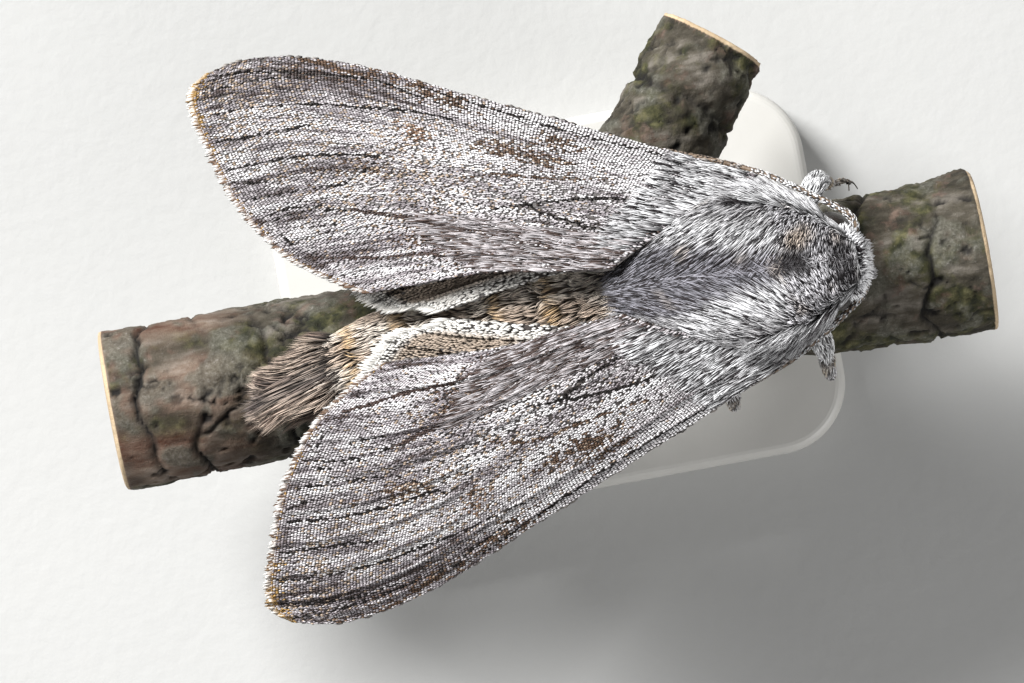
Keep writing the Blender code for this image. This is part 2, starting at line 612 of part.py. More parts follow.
def thorax():
    core = round_body("thorax", "grey_fur", THORAX, -CORE_DEPTH)
    combine(core, coat("thorax", "grey_fur", THORAX, THORAX_LOCKS, FUR_SEED + 1), "UNION", "MANIFOLD")
    clear = []
    for word in ("left", "right"):
        shape = wing(f"clear_forewing_{word}", "forewing", word, GAP)
        combine(shape, [round_body("inside", "grey_fur", THORAX, WING_SOCKET - CORE_DEPTH)], "DIFFERENCE")
        clear.append(shape)
    combine(core, clear, "DIFFERENCE", "MANIFOLD")


def abdomen():
    front, back = ABDOMEN[0][0], ABDOMEN[-1][0]
    step = (front - back) / ABDOMEN_SEGMENTS
    shares = (0.0, WAIST_SHARE, 1.0 - WAIST_SHARE)
    xs = [front - step * (i + share) for i in range(ABDOMEN_SEGMENTS) for share in shares] + [back]

    def waist(x):
        share = ((front - x) / step) % 1.0
        return ABDOMEN_WAIST if min(share, 1.0 - share) < WAIST_SHARE / 2 else 0.0

    round_body("abdomen", "tail_fur", ABDOMEN, xs=xs, waist=waist)


def tail():
    """The fan of long hair scales at the end of the abdomen."""
    core = round_body("tail_tuft", "tail_fur", TAIL, -CORE_DEPTH / 2)
    combine(core, coat("tail", "tail_fur", TAIL, TAIL_LOCKS, FUR_SEED + 2), "UNION", "MANIFOLD")
    combine(core, [branch_wood("clear_branch", GAP)], "DIFFERENCE", "MANIFOLD")


def wings():
    for word in ("left", "right"):
        fore = wing(f"forewing_{word}", "forewing", word)
        combine(fore, [round_body("clear_thorax", "grey_fur", THORAX, GAP - CORE_DEPTH)], "DIFFERENCE")
        hind = wing(f"hindwing_{word}", "hindwing", word)
        combine(hind, [round_body("clear_thorax", "grey_fur", THORAX, GAP - CORE_DEPTH),
                       round_body("clear_abdomen", "tail_fur", ABDOMEN, GAP)], "DIFFERENCE")


clear_scene()
stand()
branch_wood("perch_branch")
head()
collar()
thorax()
abdomen()
tail()
legs()
wings()
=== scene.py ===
"""Looks of the life-size hooded noctuid moth on its branch perch and stand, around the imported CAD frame.

Lengths are millimetres, turned into Blender's metres as each mesh is finished. The moth's head is
towards +X, its left side is +Y and the floor is z = 0, as in the CAD.
"""

import math

import bmesh
import bpy
import numpy as np
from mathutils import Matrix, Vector, noise


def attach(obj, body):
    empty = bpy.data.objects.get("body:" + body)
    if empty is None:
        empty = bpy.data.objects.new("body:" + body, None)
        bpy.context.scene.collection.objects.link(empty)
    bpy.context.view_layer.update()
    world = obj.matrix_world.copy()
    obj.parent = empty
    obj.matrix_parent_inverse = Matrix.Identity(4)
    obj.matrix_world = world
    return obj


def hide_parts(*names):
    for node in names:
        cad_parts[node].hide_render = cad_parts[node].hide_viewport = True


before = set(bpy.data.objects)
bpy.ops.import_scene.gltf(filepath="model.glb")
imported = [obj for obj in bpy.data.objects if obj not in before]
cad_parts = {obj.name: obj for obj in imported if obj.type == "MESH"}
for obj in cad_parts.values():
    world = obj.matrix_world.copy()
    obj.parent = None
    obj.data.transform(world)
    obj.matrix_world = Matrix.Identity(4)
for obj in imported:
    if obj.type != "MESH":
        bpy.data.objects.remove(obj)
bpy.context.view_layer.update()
MM = 0.001

# The viewpoint. The photo looks straight down on the moth from about a quarter of a metre, with the
# moth's head a little up to the right, so the camera hangs over the wings and is turned about Z.
VIEW_CENTRE = (-1.789, -0.871)
VIEW_HEIGHT = 269.0
VIEW_TURN = -10.5
VIEW_LENS = 267.2

camera_data = bpy.data.cameras.new("camera")
camera_data.lens = VIEW_LENS
camera_data.sensor_width = 36.0
camera_data.clip_start = 0.01
camera_data.clip_end = 10.0
camera = bpy.data.objects.new("camera", camera_data)
camera.location = Vector((*VIEW_CENTRE, VIEW_HEIGHT)) * MM
camera.rotation_euler = (0.0, 0.0, math.radians(VIEW_TURN))
bpy.context.scene.collection.objects.link(camera)
bpy.context.scene.camera = camera

# The light. A window-like soft box stands behind the moth's left, as the photo's daylight does, with
# a weaker one across from it, and the room fills the shadows from all round.
# name, place, side and watts of each box, all aimed at one spot
SOFT_BOXES = (("key", (-150, 190, 220), 120, 2.7), ("fill", (160, -190, 220), 200, 0.6))
LIT_SPOT = Vector((0, 0, 14))
ROOM_LIGHT = (0.98, 0.98, 1.0)
ROOM_STRENGTH = 0.2

for name, place, side, watts in SOFT_BOXES:
    lamp = bpy.data.lights.new(name, "AREA")
    lamp.size = side * MM
    lamp.energy = watts
    box = bpy.data.objects.new(name, lamp)
    box.location = Vector(place) * MM
    box.rotation_euler = (LIT_SPOT - Vector(place)).to_track_quat("-Z", "Y").to_euler()
    bpy.context.scene.collection.objects.link(box)
room = bpy.data.worlds.new("room")
room.use_nodes = True
room.node_tree.nodes["Background"].inputs["Color"].default_value = (*ROOM_LIGHT, 1.0)
room.node_tree.nodes["Background"].inputs["Strength"].default_value = ROOM_STRENGTH
bpy.context.scene.world = room
# the plain view keeps the contrast of white and dark scales, which the default one flattens
bpy.context.scene.view_settings.view_transform = "Standard"

# The floor. A plain pale surface of matt studio paper, far wider than the view, that the stand rests on.
# It is no part of the model.


class Socket:
    """An output of a shader node, on which Python's arithmetic adds Math nodes."""

    def __init__(self, finish, output):
        self.finish = finish
        self.output = output

    def maths(self, operation, *values):
        return self.finish.node("ShaderNodeMath", {"operation": operation}, dict(enumerate(values)))

    def __add__(self, other):
        return self.maths("ADD", self, other)

    def __mul__(self, other):
        return self.maths("MULTIPLY", self, other)

    def __rsub__(self, other):
        return self.maths("SUBTRACT", other, self)

    __radd__ = __add__
    __rmul__ = __mul__


class Finish:
    """A material made of nodes round one Principled shader."""

    def __init__(self, name, **constants):
        self.material = bpy.data.materials.new(name)
        self.material.use_nodes = True
        self.tree = self.material.node_tree
        self.shader = self.tree.nodes["Principled BSDF"]
        for key, value in constants.items():
            self.plug(self.shader.inputs[key.replace("_", " ")], value)

    def plug(self, target, value):
        if isinstance(value, Socket):
            self.tree.links.new(value.output, target)
        elif isinstance(value, tuple) and len(value) == 3 and target.type == "RGBA":
            target.default_value = (*value, 1.0)
        else:
            target.default_value = value

    def node(self, kind, settings=None, sockets=None, output=0):
        """Any node, from its type, its settings and the values or links of its sockets."""
        made = self.tree.nodes.new(kind)
        for key, value in (settings or {}).items():
            if key == "stops":
                for i, (place, colour) in enumerate(value):
                    stop = made.color_ramp.elements[i] if i < 2 else made.color_ramp.elements.new(place)
                    stop.position = place
                    stop.color = (*colour, 1.0)
            else:
                setattr(made, key, value)
        for key, value in (sockets or {}).items():
            self.plug(made.inputs[key], value)
        return Socket(self, made.outputs[output])

    def place(self, scale=(1.0, 1.0, 1.0), turn=(0.0, 0.0, 0.0)):
        """Object coordinates in millimetres, stretched and turned."""
        spot = self.node("ShaderNodeTexCoord", {}, {}, "Object")
        size = tuple(s / MM for s in scale)
        return self.node("ShaderNodeMapping", {}, {"Vector": spot, "Scale": size, "Rotation": turn})

    def grain(self, spot, size, detail=4.0, roughness=0.55):
        """Noise between 0 and 1 whose lumps are about that many millimetres."""
        sockets = {"Vector": spot, "Scale": 1.0 / size, "Detail": detail, "Roughness": roughness}
        return self.node("ShaderNodeTexNoise", {}, sockets)

    def ramp(self, value, *stops):
        return self.node("ShaderNodeValToRGB", {"stops": stops}, {"Fac": value})

    def blend(self, share, one, other, how="MIX"):
        """One colour going over to the other."""
        settings = {"data_type": "RGBA", "blend_type": how}
        return self.node("ShaderNodeMix", settings, {0: share, 6: one, 7: other}, 2)

    def between(self, value, low, high):
        """0 below low, 1 above high and smooth between."""
        settings = {"interpolation_type": "SMOOTHSTEP"}
        return self.node("ShaderNodeMapRange", settings, {"Value": value, "From Min": low, "From Max": high})

    def painted(self, name):
        """The colour stored on the mesh under that name."""
        return self.node("ShaderNodeAttribute", {"attribute_name": name}, {}, "Color")

    def channels(self, name):
        """The three values stored on the mesh under that name."""
        whole = {"Color": self.painted(name)}
        return [self.node("ShaderNodeSeparateColor", {}, whole, part) for part in ("Red", "Green", "Blue")]

    def wear(self, colour=None, roughness=None, bump=None, depth=0.02):
        """Links what varies over the surface: colour, roughness and relief depth in millimetres."""
        if colour is not None:
            self.plug(self.shader.inputs["Base Color"], colour)
        if roughness is not None:
            self.plug(self.shader.inputs["Roughness"], roughness)
        if bump is not None:
            sockets = {"Height": bump, "Distance": depth * MM, "Strength": 1.0}
            relief = self.node("ShaderNodeBump", {}, sockets)
            self.plug(self.shader.inputs["Normal"], relief)
        return self.material


FLOOR_HALF = 400.0

bm = bmesh.new()
bmesh.ops.create_grid(bm, x_segments=2, y_segments=2, size=FLOOR_HALF * MM)
mesh = bpy.data.meshes.new("floor")
bm.to_mesh(mesh)
bm.free()
paper = Finish("floor_paper", Roughness=0.85)
spot = paper.place()
mesh.materials.append(paper.wear(
    paper.ramp(paper.grain(spot, 40.0), (0.3, (0.39, 0.39, 0.38)), (0.7, (0.42, 0.42, 0.41))),
    bump=paper.grain(spot, 0.6), depth=0.03))
floor = bpy.data.objects.new("floor", mesh)
bpy.context.scene.collection.objects.link(floor)

# Display stand. A rounded plate of satin painted resin, weighted inside, with two turned steel rods.
# Each rod screws into the plate through a small collar, and its top is let into the branch.
BASE_LENGTH, BASE_WIDTH, BASE_THICKNESS = 19.0, 13.0, 2.2
BASE_CORNER, BASE_EDGE = 2.5, 0.35
ROD_RADIUS, ROD_Y, ROD_TOP = 0.8, -0.7, 8.0
ROD_X = {"stand_rod_front": 5.5, "stand_rod_rear": -5.5}
COLLAR_RADIUS, COLLAR_HEIGHT, COLLAR_EDGE = 1.35, 0.6, 0.15
BODY = "root"


def finish_mesh(bm, name, material, slot, *nodes, smooth=True):
    """Turns a closed mesh made in millimetres into a piece in metres that rides on the one body."""
    bmesh.ops.scale(bm, vec=(MM, MM, MM), verts=bm.verts)
    for face in bm.faces:
        face.smooth = smooth
    mesh = bpy.data.meshes.new(name)
    bm.to_mesh(mesh)
    bm.free()
    mesh.materials.append(material)
    return seat(mesh, name, slot, *nodes)


def seat(mesh, name, slot, *nodes):
    """Links a mesh as a piece that rides on the body and stands for CAD nodes; the slot is not used."""
    piece = bpy.data.objects.new(name, mesh)
    bpy.context.scene.collection.objects.link(piece)
    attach(piece, BODY)
    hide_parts(*nodes)
    return piece


bm = bmesh.new()
bmesh.ops.create_cube(bm, size=1.0)
bmesh.ops.scale(bm, vec=(BASE_LENGTH, BASE_WIDTH, BASE_THICKNESS), verts=bm.verts)
bmesh.ops.translate(bm, vec=(0, 0, BASE_THICKNESS / 2), verts=bm.verts)
upright = [e for e in bm.edges if abs(e.verts[0].co.z - e.verts[1].co.z) > BASE_THICKNESS / 2]
bmesh.ops.bevel(bm, geom=upright, offset=BASE_CORNER, segments=16, affect="EDGES", profile=0.5, material=-1)
rim = [e for e in bm.edges if min(e.verts[0].co.z, e.verts[1].co.z) > BASE_THICKNESS * 0.9]
bmesh.ops.bevel(bm, geom=rim, offset=BASE_EDGE, segments=5, affect="EDGES", profile=0.5, material=-1)
resin = Finish("satin_resin", Coat_Weight=0.15, Coat_Roughness=0.3)
spot = resin.place()
resin_finish = resin.wear(
    resin.ramp(resin.grain(spot, 3.0), (0.35, (0.50, 0.49, 0.46)), (0.65, (0.54, 0.53, 0.50))),
    roughness=resin.grain(spot, 0.8) * 0.15 + 0.38, bump=resin.grain(spot, 0.12), depth=0.004)
finish_mesh(bm, "stand_plate", resin_finish, "stand_base", "stand_base", smooth=False)

steel = Finish("turned_steel", Metallic=1.0)
turning = steel.grain(steel.place((0.05, 0.05, 8.0)), 0.4, 2.0)
steel_finish = steel.wear(steel.ramp(turning, (0.3, (0.46, 0.46, 0.46)), (0.7, (0.60, 0.60, 0.59))),
                          roughness=turning * 0.2 + 0.22, bump=turning, depth=0.006)
collar_top = BASE_THICKNESS + COLLAR_HEIGHT
rod_profile = ((0.0, BASE_THICKNESS), (COLLAR_RADIUS, BASE_THICKNESS),
               (COLLAR_RADIUS, collar_top - COLLAR_EDGE), (COLLAR_RADIUS - COLLAR_EDGE, collar_top),
               (ROD_RADIUS, collar_top), (ROD_RADIUS, ROD_TOP), (0.0, ROD_TOP))
for node, x in ROD_X.items():
    bm = bmesh.new()
    line = [bm.verts.new((x + radius, ROD_Y, z)) for radius, z in rod_profile]
    edges = [bm.edges.new(pair) for pair in zip(line, line[1:])]
    bmesh.ops.spin(bm, geom=line + edges, cent=(x, ROD_Y, 0), axis=(0, 0, 1), angle=2 * math.pi, steps=48,
                   use_merge=True)
    bmesh.ops.remove_doubles(bm, verts=bm.verts, dist=1e-4)
    bmesh.ops.recalc_face_normals(bm, faces=bm.faces)
    finish_mesh(bm, node + "_turned", steel_finish, "stand_rod", node, smooth=False)

# Perch. A short cut length of an old twig with the stub of its side shoot, sawn square at the ends.
# Its grey-brown bark is cracked across, flakes along its length and carries crusts of lichen and algae.
BRANCH_RADIUS, BRANCH_FRONT, BRANCH_BACK = 2.7, 14.6, -15.6
BRANCH_Y, BRANCH_Z = -0.7, 10.2
CRACKS = (-14.2, -12.4, -9.8, -6.2, -2.9, 1.2, 4.9, 8.0, 10.6, 12.6)
CRACK_DEPTH = 0.28
SHOOT_RADIUS = 2.0
SHOOT_ROOT, SHOOT_END = Vector((-0.2, -0.7, 10.1)), Vector((6.9, 8.0, 9.4))
BARK_VOXEL = 0.115


def tube(bm, along, around, place):
    """A closed tube whose point at each step along and around is place(i, j)."""
    grid = bmesh.ops.create_grid(bm, x_segments=along, y_segments=around, size=0.5)
    for vert in grid["verts"]:
        i = round((vert.co.x + 0.5) * along)
        j = round((vert.co.y + 0.5) * around)
        vert.co = place(i, j % around)
    bmesh.ops.remove_doubles(bm, verts=grid["verts"], dist=1e-5)
    rims = [edge for edge in bm.edges if edge.is_boundary]
    bmesh.ops.holes_fill(bm, edges=rims, sides=around)


def voxel_skin(bm, name, voxel, smoothing):
    """One closed surface round overlapping shapes, as a mesh in millimetres."""
    bmesh.ops.recalc_face_normals(bm, faces=bm.faces)
    mesh = bpy.data.meshes.new(name)
    bm.to_mesh(mesh)
    bm.free()
    rough = bpy.data.objects.new(name + "_rough", mesh)
    bpy.context.scene.collection.objects.link(rough)
    remesh = rough.modifiers.new("skin", "REMESH")
    remesh.mode = "VOXEL"
    remesh.voxel_size = voxel
    relax = rough.modifiers.new("relax", "SMOOTH")
    relax.iterations = smoothing
    bpy.context.view_layer.update()
    graph = bpy.context.evaluated_depsgraph_get()
    skin = bpy.data.meshes.new_from_object(rough.evaluated_get(graph))
    skin.name = name
    bpy.data.objects.remove(rough)
    return skin


def points_of(mesh):
    values = np.empty(len(mesh.vertices) * 3)
    mesh.vertices.foreach_get("co", values)
    return values.reshape(-1, 3)


def normals_of(mesh):
    values = np.empty(len(mesh.vertices) * 3)
    mesh.vertices.foreach_get("normal", values)
    return values.reshape(-1, 3)


def grain_at(points, size, seed=0.0):
    """Smooth noise of about -1 to 1 at each point, its lumps about that size."""
    shift = Vector((seed * 7.3, seed * 3.1, seed * 5.7))
    return np.array([noise.noise(Vector(point) / size + shift) for point in points.tolist()]) * 1.6


def flakes_at(points, seed=0.0):
    """How close each point is to a crack between neighbouring flakes: 0 on the crack."""
    shift = Vector((seed, seed, seed))
    gaps = np.empty(len(points))
    for i, point in enumerate(points.tolist()):
        near = noise.voronoi(Vector(point) + shift)[0]
        gaps[i] = near[1] - near[0]
    return gaps


def paint(mesh, name, colours):
    """Stores a colour for each point."""
    layer = mesh.color_attributes.new(name, "FLOAT_COLOR", "POINT")
    values = np.ones((len(mesh.vertices), 4), dtype=np.float32)
    values[:, :3] = colours
    layer.data.foreach_set("color", values.ravel())


def smooth(value, low, high):
    """0 below low, 1 above high and smooth between."""
    share = np.clip((value - low) / (high - low), 0.0, 1.0)
    return share * share * (3.0 - 2.0 * share)


def hump(value, middle, half):
    """1 at the middle, and falling away smoothly on both sides."""
    return np.exp(-((value - middle) / half) ** 2)


def bark_swell(x, angle):
    """Height of the bark's slow lumps at a place along the branch and round it."""
    return 0.12 * np.sin(0.42 * x + 1.0) + 0.08 * np.sin(3 * angle + 0.5 * x)


def branch_point(i, j):
    x = BRANCH_FRONT + (BRANCH_BACK - BRANCH_FRONT) * i / 120
    angle = 2 * math.pi * j / 48
    radius = BRANCH_RADIUS + bark_swell(x, angle) - 0.04
    return Vector((x, BRANCH_Y + radius * math.sin(angle), BRANCH_Z + radius * math.cos(angle)))


shoot_ahead = (SHOOT_END - SHOOT_ROOT).normalized()
shoot_side = shoot_ahead.cross(Vector((0, 0, 1))).normalized()
shoot_up = shoot_side.cross(shoot_ahead)
SHOOT_LENGTH = (SHOOT_END - SHOOT_ROOT).length


def shoot_point(i, j):
    angle = 2 * math.pi * j / 40
    share = i / 45
    radius = SHOOT_RADIUS * (1.15 - 0.2 * share) + 0.09 * math.sin(11.5 * share + 3 * angle) - 0.04
    around = shoot_side * math.cos(angle) + shoot_up * math.sin(angle)
    return SHOOT_ROOT + shoot_ahead * (share * SHOOT_LENGTH) + around * radius


bm = bmesh.new()
tube(bm, 120, 48, branch_point)
tube(bm, 45, 40, shoot_point)
bark_mesh = voxel_skin(bm, "perch_bark", BARK_VOXEL, 2)
spots, outwards = points_of(bark_mesh), normals_of(bark_mesh)
from_axis = spots - np.array([0.0, BRANCH_Y, BRANCH_Z])
on_twig = np.hypot(from_axis[:, 1], from_axis[:, 2]) < BRANCH_RADIUS + 0.35
twig_angle = np.arctan2(from_axis[:, 1], from_axis[:, 2])
shoot_along = (spots - np.array(SHOOT_ROOT)) @ np.array(shoot_ahead)
run = np.where(on_twig, spots[:, 0], shoot_along * 0.9 + 3.0)
# the sawn ends stay flat and pale
sawn = np.where(on_twig, np.minimum(BRANCH_FRONT - spots[:, 0], spots[:, 0] - BRANCH_BACK),
                SHOOT_LENGTH - shoot_along)
bark = smooth(sawn, 0.05, 0.25)
crack = np.zeros(len(spots))
ragged = 0.14 * grain_at(spots * np.array([0.0, 1, 1]), 0.5, 15.0)
for place in CRACKS:
    wander = 0.35 * np.sin(2 * twig_angle + place) + 0.12 * np.sin(7 * twig_angle + 2.3 * place) + ragged
    depth = 0.55 + 0.45 * np.sin(1.5 * twig_angle + 1.7 * place)
    crack = np.maximum(crack, depth * hump(run - place, wander, 0.10) * np.where(on_twig, 1.0, 0.5))
around = np.where(on_twig, twig_angle * BRANCH_RADIUS, spots[:, 2])
grain_run = np.stack([run * 0.4, around, np.where(on_twig, 0.0, spots[:, 1] * 0.5)], axis=1)
rough = grain_at(spots * np.array([0.6, 1, 1]), 1.5, 1.0)
fine = grain_at(spots * np.array([0.8, 1, 1]), 0.4, 2.0)
finer = grain_at(spots, 0.15, 4.0)
plates = flakes_at(spots * np.array([0.5, 0.8, 0.8]) / 1.7 + 0.14 * fine[:, None], 3.0)
plate_gap = (1.0 - smooth(plates, 0.0, 0.06)) * smooth(grain_at(spots, 2.2, 7.0), -0.1, 0.4)
split = np.abs(grain_at(grain_run, 0.62, 12.0))
split = (1.0 - smooth(split, 0.0, 0.09)) * smooth(grain_at(spots, 1.7, 13.0), 0.15, 0.5)
pits = smooth(-grain_at(spots, 0.55, 14.0) - 0.3 * fine, 0.75, 1.0)
crust = smooth(grain_at(spots, 1.3, 5.0) + 0.5 * grain_at(spots, 0.4, 6.0), 0.15, 0.6)
bare = smooth(-spots[:, 0], 9.6, 12.5)
relief = (0.10 * rough + (0.055 * fine + 0.03 * finer) * (1 - 0.6 * bare) + 0.04 * crust - 0.13 * plate_gap
          - 0.11 * split - 0.12 * pits - CRACK_DEPTH * crack)
spots = spots + outwards * (relief * bark)[:, None]
bark_mesh.vertices.foreach_set("co", (spots * MM).ravel())
# painted shade: the bark is darkened in its plate gaps, splits, cracks, pits and low spots, where shadow
# falls
painted_crack_shade = 0.9 * plate_gap + 0.85 * split + 1.3 * crack + 0.9 * pits + 0.25 * smooth(-fine, 0.2, 0.8)
painted_crack_shade = np.clip(painted_crack_shade, 0, 1) * bark
red_end = bare * smooth(grain_at(spots * np.array([0.3, 1, 1]), 1.4, 8.0), -0.7, 0.1)
paint(bark_mesh, "bark", np.stack([painted_crack_shade, crust * bark, np.where(bark > 0.5, red_end * on_twig, 1.0)], axis=1))
beside = spots - np.array(SHOOT_ROOT) - shoot_along[:, None] * np.array(shoot_ahead)
pith = np.where(on_twig, np.hypot(from_axis[:, 1], from_axis[:, 2]), np.linalg.norm(beside, axis=1))
paint(bark_mesh, "wood", np.stack([1.0 - bark, pith / BRANCH_RADIUS, np.zeros(len(spots))], axis=1))
bark_mesh.polygons.foreach_set("use_smooth", [True] * len(bark_mesh.polygons))

wood = Finish("old_bark", Specular_IOR_Level=0.3)
spot = wood.place()
long_spot = wood.place((0.35, 1.0, 1.0))
crack_shade_share, lichen, flaked = wood.channels("bark")
cut, from_pith, _ = wood.channels("wood")
patch = wood.grain(long_spot, 0.9, 7.0, 0.66)
speck = wood.grain(spot, 0.13, 5.0, 0.7)
base_bark = wood.ramp(patch, (0.32, (0.020, 0.018, 0.012)), (0.44, (0.062, 0.055, 0.036)),
                      (0.53, (0.115, 0.105, 0.078)), (0.64, (0.25, 0.235, 0.20)))
olive = wood.ramp(wood.grain(spot, 0.4, 6.0), (0.38, (0.022, 0.026, 0.008)), (0.52, (0.075, 0.078, 0.028)),
                  (0.68, (0.19, 0.185, 0.085)))
grown = wood.blend(wood.between(wood.grain(spot, 1.7, 5.0), 0.47, 0.6), base_bark, olive)
rosy = wood.ramp(wood.grain(spot, 0.35, 5.0), (0.4, (0.085, 0.05, 0.034)), (0.62, (0.26, 0.185, 0.145)))
blushed = wood.blend(wood.between(wood.grain(spot, 1.2, 4.0, 0.6), 0.55, 0.66) * 0.7, grown, rosy)
pink = wood.ramp(wood.grain(long_spot, 0.8, 6.0, 0.65), (0.33, (0.10, 0.035, 0.015)),
                 (0.45, (0.19, 0.12, 0.085)), (0.55, (0.27, 0.205, 0.155)), (0.68, (0.43, 0.37, 0.31)))
bared = wood.blend(flaked, blushed, pink)
crust_grey = wood.ramp(speck, (0.35, (0.085, 0.09, 0.065)), (0.55, (0.20, 0.205, 0.165)),
                       (0.72, (0.38, 0.39, 0.36)))
crusted = wood.blend(lichen * 0.65, bared, crust_grey)
speckled = wood.blend(wood.between(speck, 0.6, 0.75) * 0.45, crusted, (0.40, 0.385, 0.35))
shaded = wood.blend(1.0, speckled, (0.54, 0.51, 0.50), "MULTIPLY")
# painted shade: the bark turns almost black where the shade of its hollows is stored
crack_shaded = wood.blend(crack_shade_share, shaded, (0.006, 0.005, 0.004))
year = from_pith * 62.0 + wood.grain(spot, 0.8) * 5.0
growth = year.maths("SINE", year) * 0.5 + 0.5
sawn_face = wood.ramp(growth, (0.2, (0.40, 0.30, 0.19)), (0.8, (0.48, 0.37, 0.24)))
bark_finish = wood.wear(wood.blend(wood.between(cut, 0.4, 0.7), crack_shaded, sawn_face),
                        roughness=wood.grain(spot, 0.3) * 0.25 + 0.68,
                        bump=speck + wood.grain(spot, 0.05, 3.0) * 0.5, depth=0.05)
bark_mesh.materials.clear()
bark_mesh.materials.append(bark_finish)
seat(bark_mesh, "perch_bark", "bark", "perch_branch")

# Body. One closed skin runs over head, palps, thorax, abdomen and legs, with no seam where they join.
# It is the dark chitin under the coat, and lies below the coat's surface by the length of the fur.
SQUARENESS = 2.3
SPINE = ((10.6, -0.45), (8.9, -0.12), (6.5, 0.0), (4.1, 0.12), (2.1, 0.2), (-0.5, 0.05),
         (-2.8, -0.04), (-4.8, -0.2), (-7.3, -0.58), (-9.0, -1.0), (-10.8, -1.4))
HEAD = ((10.2, 0.45, 14.6, 15.5), (9.9, 0.7, 14.2, 15.85), (9.4, 0.8, 14.0, 16.0), (8.8, 0.8, 13.95, 16.0),
        (8.2, 0.8, 14.1, 15.8), (7.0, 0.7, 14.4, 15.6))
HOOD = ((9.9, 1.0, 16.0, 17.4), (9.5, 1.3, 15.9, 18.0), (8.9, 1.75, 15.8, 18.5), (8.3, 2.15, 15.6, 18.75),
        (7.8, 2.5, 15.4, 18.85), (7.0, 2.75, 15.2, 19.0))
NECK = ((9.6, 0.7, 14.8, 16.8), (8.9, 0.9, 14.6, 17.2), (8.2, 1.1, 14.6, 17.4), (7.8, 1.1, 14.6, 17.4))
THORAX = ((8.4, 2.1, 14.9, 18.5), (7.5, 2.65, 14.6, 18.9), (7.0, 2.85, 14.3, 19.05), (6.1, 2.9, 14.1, 19.1),
          (5.0, 2.7, 14.0, 18.95), (3.9, 2.25, 14.1, 18.55), (3.0, 1.75, 14.2, 18.1), (2.2, 1.25, 14.3, 17.5),
          (1.2, 0.8, 14.5, 16.9))
ABDOMEN = ((3.2, 1.1, 14.2, 16.3), (1.9, 1.25, 14.1, 16.3), (0.4, 1.6, 13.7, 16.05),
           (-1.2, 1.7, 13.55, 15.95), (-3.2, 1.65, 13.55, 15.85), (-5.2, 1.5, 13.55, 15.7),
           (-6.8, 1.3, 13.6, 15.5), (-7.6, 1.15, 13.65, 15.35),
           (-8.6, 1.05, 13.65, 15.2), (-9.3, 0.8, 13.75, 15.0), (-10.8, 0.45, 13.95, 14.7))
ABDOMEN_FRONT, ABDOMEN_STEP = 1.9, 9.5 / 7
FUR_DEPTH, SHORT_DEPTH = 0.52, 0.16
PALP = ((9.6, 0.35, 14.4, 0.3), (10.25, 0.42, 14.2, 0.3), (10.6, 0.44, 14.3, 0.27), (10.85, 0.42, 14.5, 0.15))
PALP_HAIR = 0.5
LEGS = {
    "foreleg_left": (((7.9, 0.5, 14.6, 0.5), (8.5, 1.5, 14.5, 0.4), (9.2, 2.5, 14.2, 0.34)),
                     ((9.7, 58, 1.0, 0.3), (10.0, 70, 0.66, 0.27), (10.3, 82, 0.58, 0.25),
                      (10.5, 94, 0.5, 0.18))),
    "foreleg_right": (((7.6, -0.7, 14.6, 0.5), (8.0, -1.7, 14.5, 0.4), (8.4, -2.6, 14.1, 0.34)),
                      ((8.6, -60, 1.1, 0.3), (8.7, -71, 0.66, 0.27), (8.7, -83, 0.58, 0.25),
                       (8.6, -95, 0.5, 0.18))),
    "midleg_left": (((6.3, 0.9, 14.3, 0.5), (5.9, 2.1, 14.1, 0.4), (5.7, 3.2, 13.7, 0.34)),
                    ((6.0, 62, 1.3, 0.3), (6.3, 70, 0.7, 0.27), (6.7, 80, 0.58, 0.25),
                     (7.1, 88, 0.5, 0.18))),
    "midleg_right": (((6.0, -0.9, 14.3, 0.5), (5.6, -2.2, 14.2, 0.4), (5.2, -3.6, 13.8, 0.34)),
                     ((5.2, -62, 1.5, 0.3), (5.3, -72, 0.74, 0.27), (5.6, -84, 0.58, 0.25),
                      (5.9, -95, 0.5, 0.18))),
    "hindleg_left": (((4.2, 0.9, 14.3, 0.5), (3.0, 2.1, 14.1, 0.4), (1.6, 3.3, 13.8, 0.34)),
                     ((0.3, 56, 1.8, 0.3), (-1.2, 58, 0.9, 0.28), (-2.4, 60, 0.58, 0.25),
                      (-3.4, 62, 0.5, 0.18))),
    "hindleg_right": (((4.2, -0.8, 14.3, 0.5), (3.0, -2.2, 14.1, 0.4), (1.6, -3.6, 13.8, 0.34)),
                      ((0.5, -58, 1.5, 0.3), (-0.8, -64, 0.76, 0.28), (-2.0, -70, 0.58, 0.25),
                       (-3.0, -74, 0.5, 0.18))),
}
# The tables of the round parts give x, half the width, and the height of underside and top. A spine point
# is x and y, a palp point x, distance from the middle, height and radius, and a leg starts with points of
# x, y, z and radius, followed by places on the branch: x, degrees round it, height over the bark, radius.
SKIN_VOXEL = 0.078
WAIST_DEPTH = 0.06
SIDES = (("left", 1), ("right", -1))


def read(table, x):
    """The columns of a table of rows that start with a falling x, read smoothly at x."""
    rows = np.array(table)[::-1]
    steps = (-0.3, -0.15, 0.0, 0.15, 0.3)
    return [sum(np.interp(x + step, rows[:, 0], rows[:, c]) for step in steps) / len(steps)
            for c in range(1, rows.shape[1])]


def body_surface(table):
    """Place on a round part for x, the angle from the top towards the left, and a height over the coat."""
    def surface(x, angle, rise):
        half, low, high = read(table, x)
        middle, = read(SPINE, x)
        c, s = np.cos(angle), np.sin(angle)
        reach = (np.abs(c) ** SQUARENESS + np.abs(s) ** SQUARENESS) ** (-1 / SQUARENESS)
        y = middle + np.maximum(half + rise, 0.05) * s * reach
        z = (low + high) / 2 + np.maximum((high - low) / 2 + rise, 0.05) * c * reach
        return np.stack(np.broadcast_arrays(x, y, z), axis=-1)
    return surface


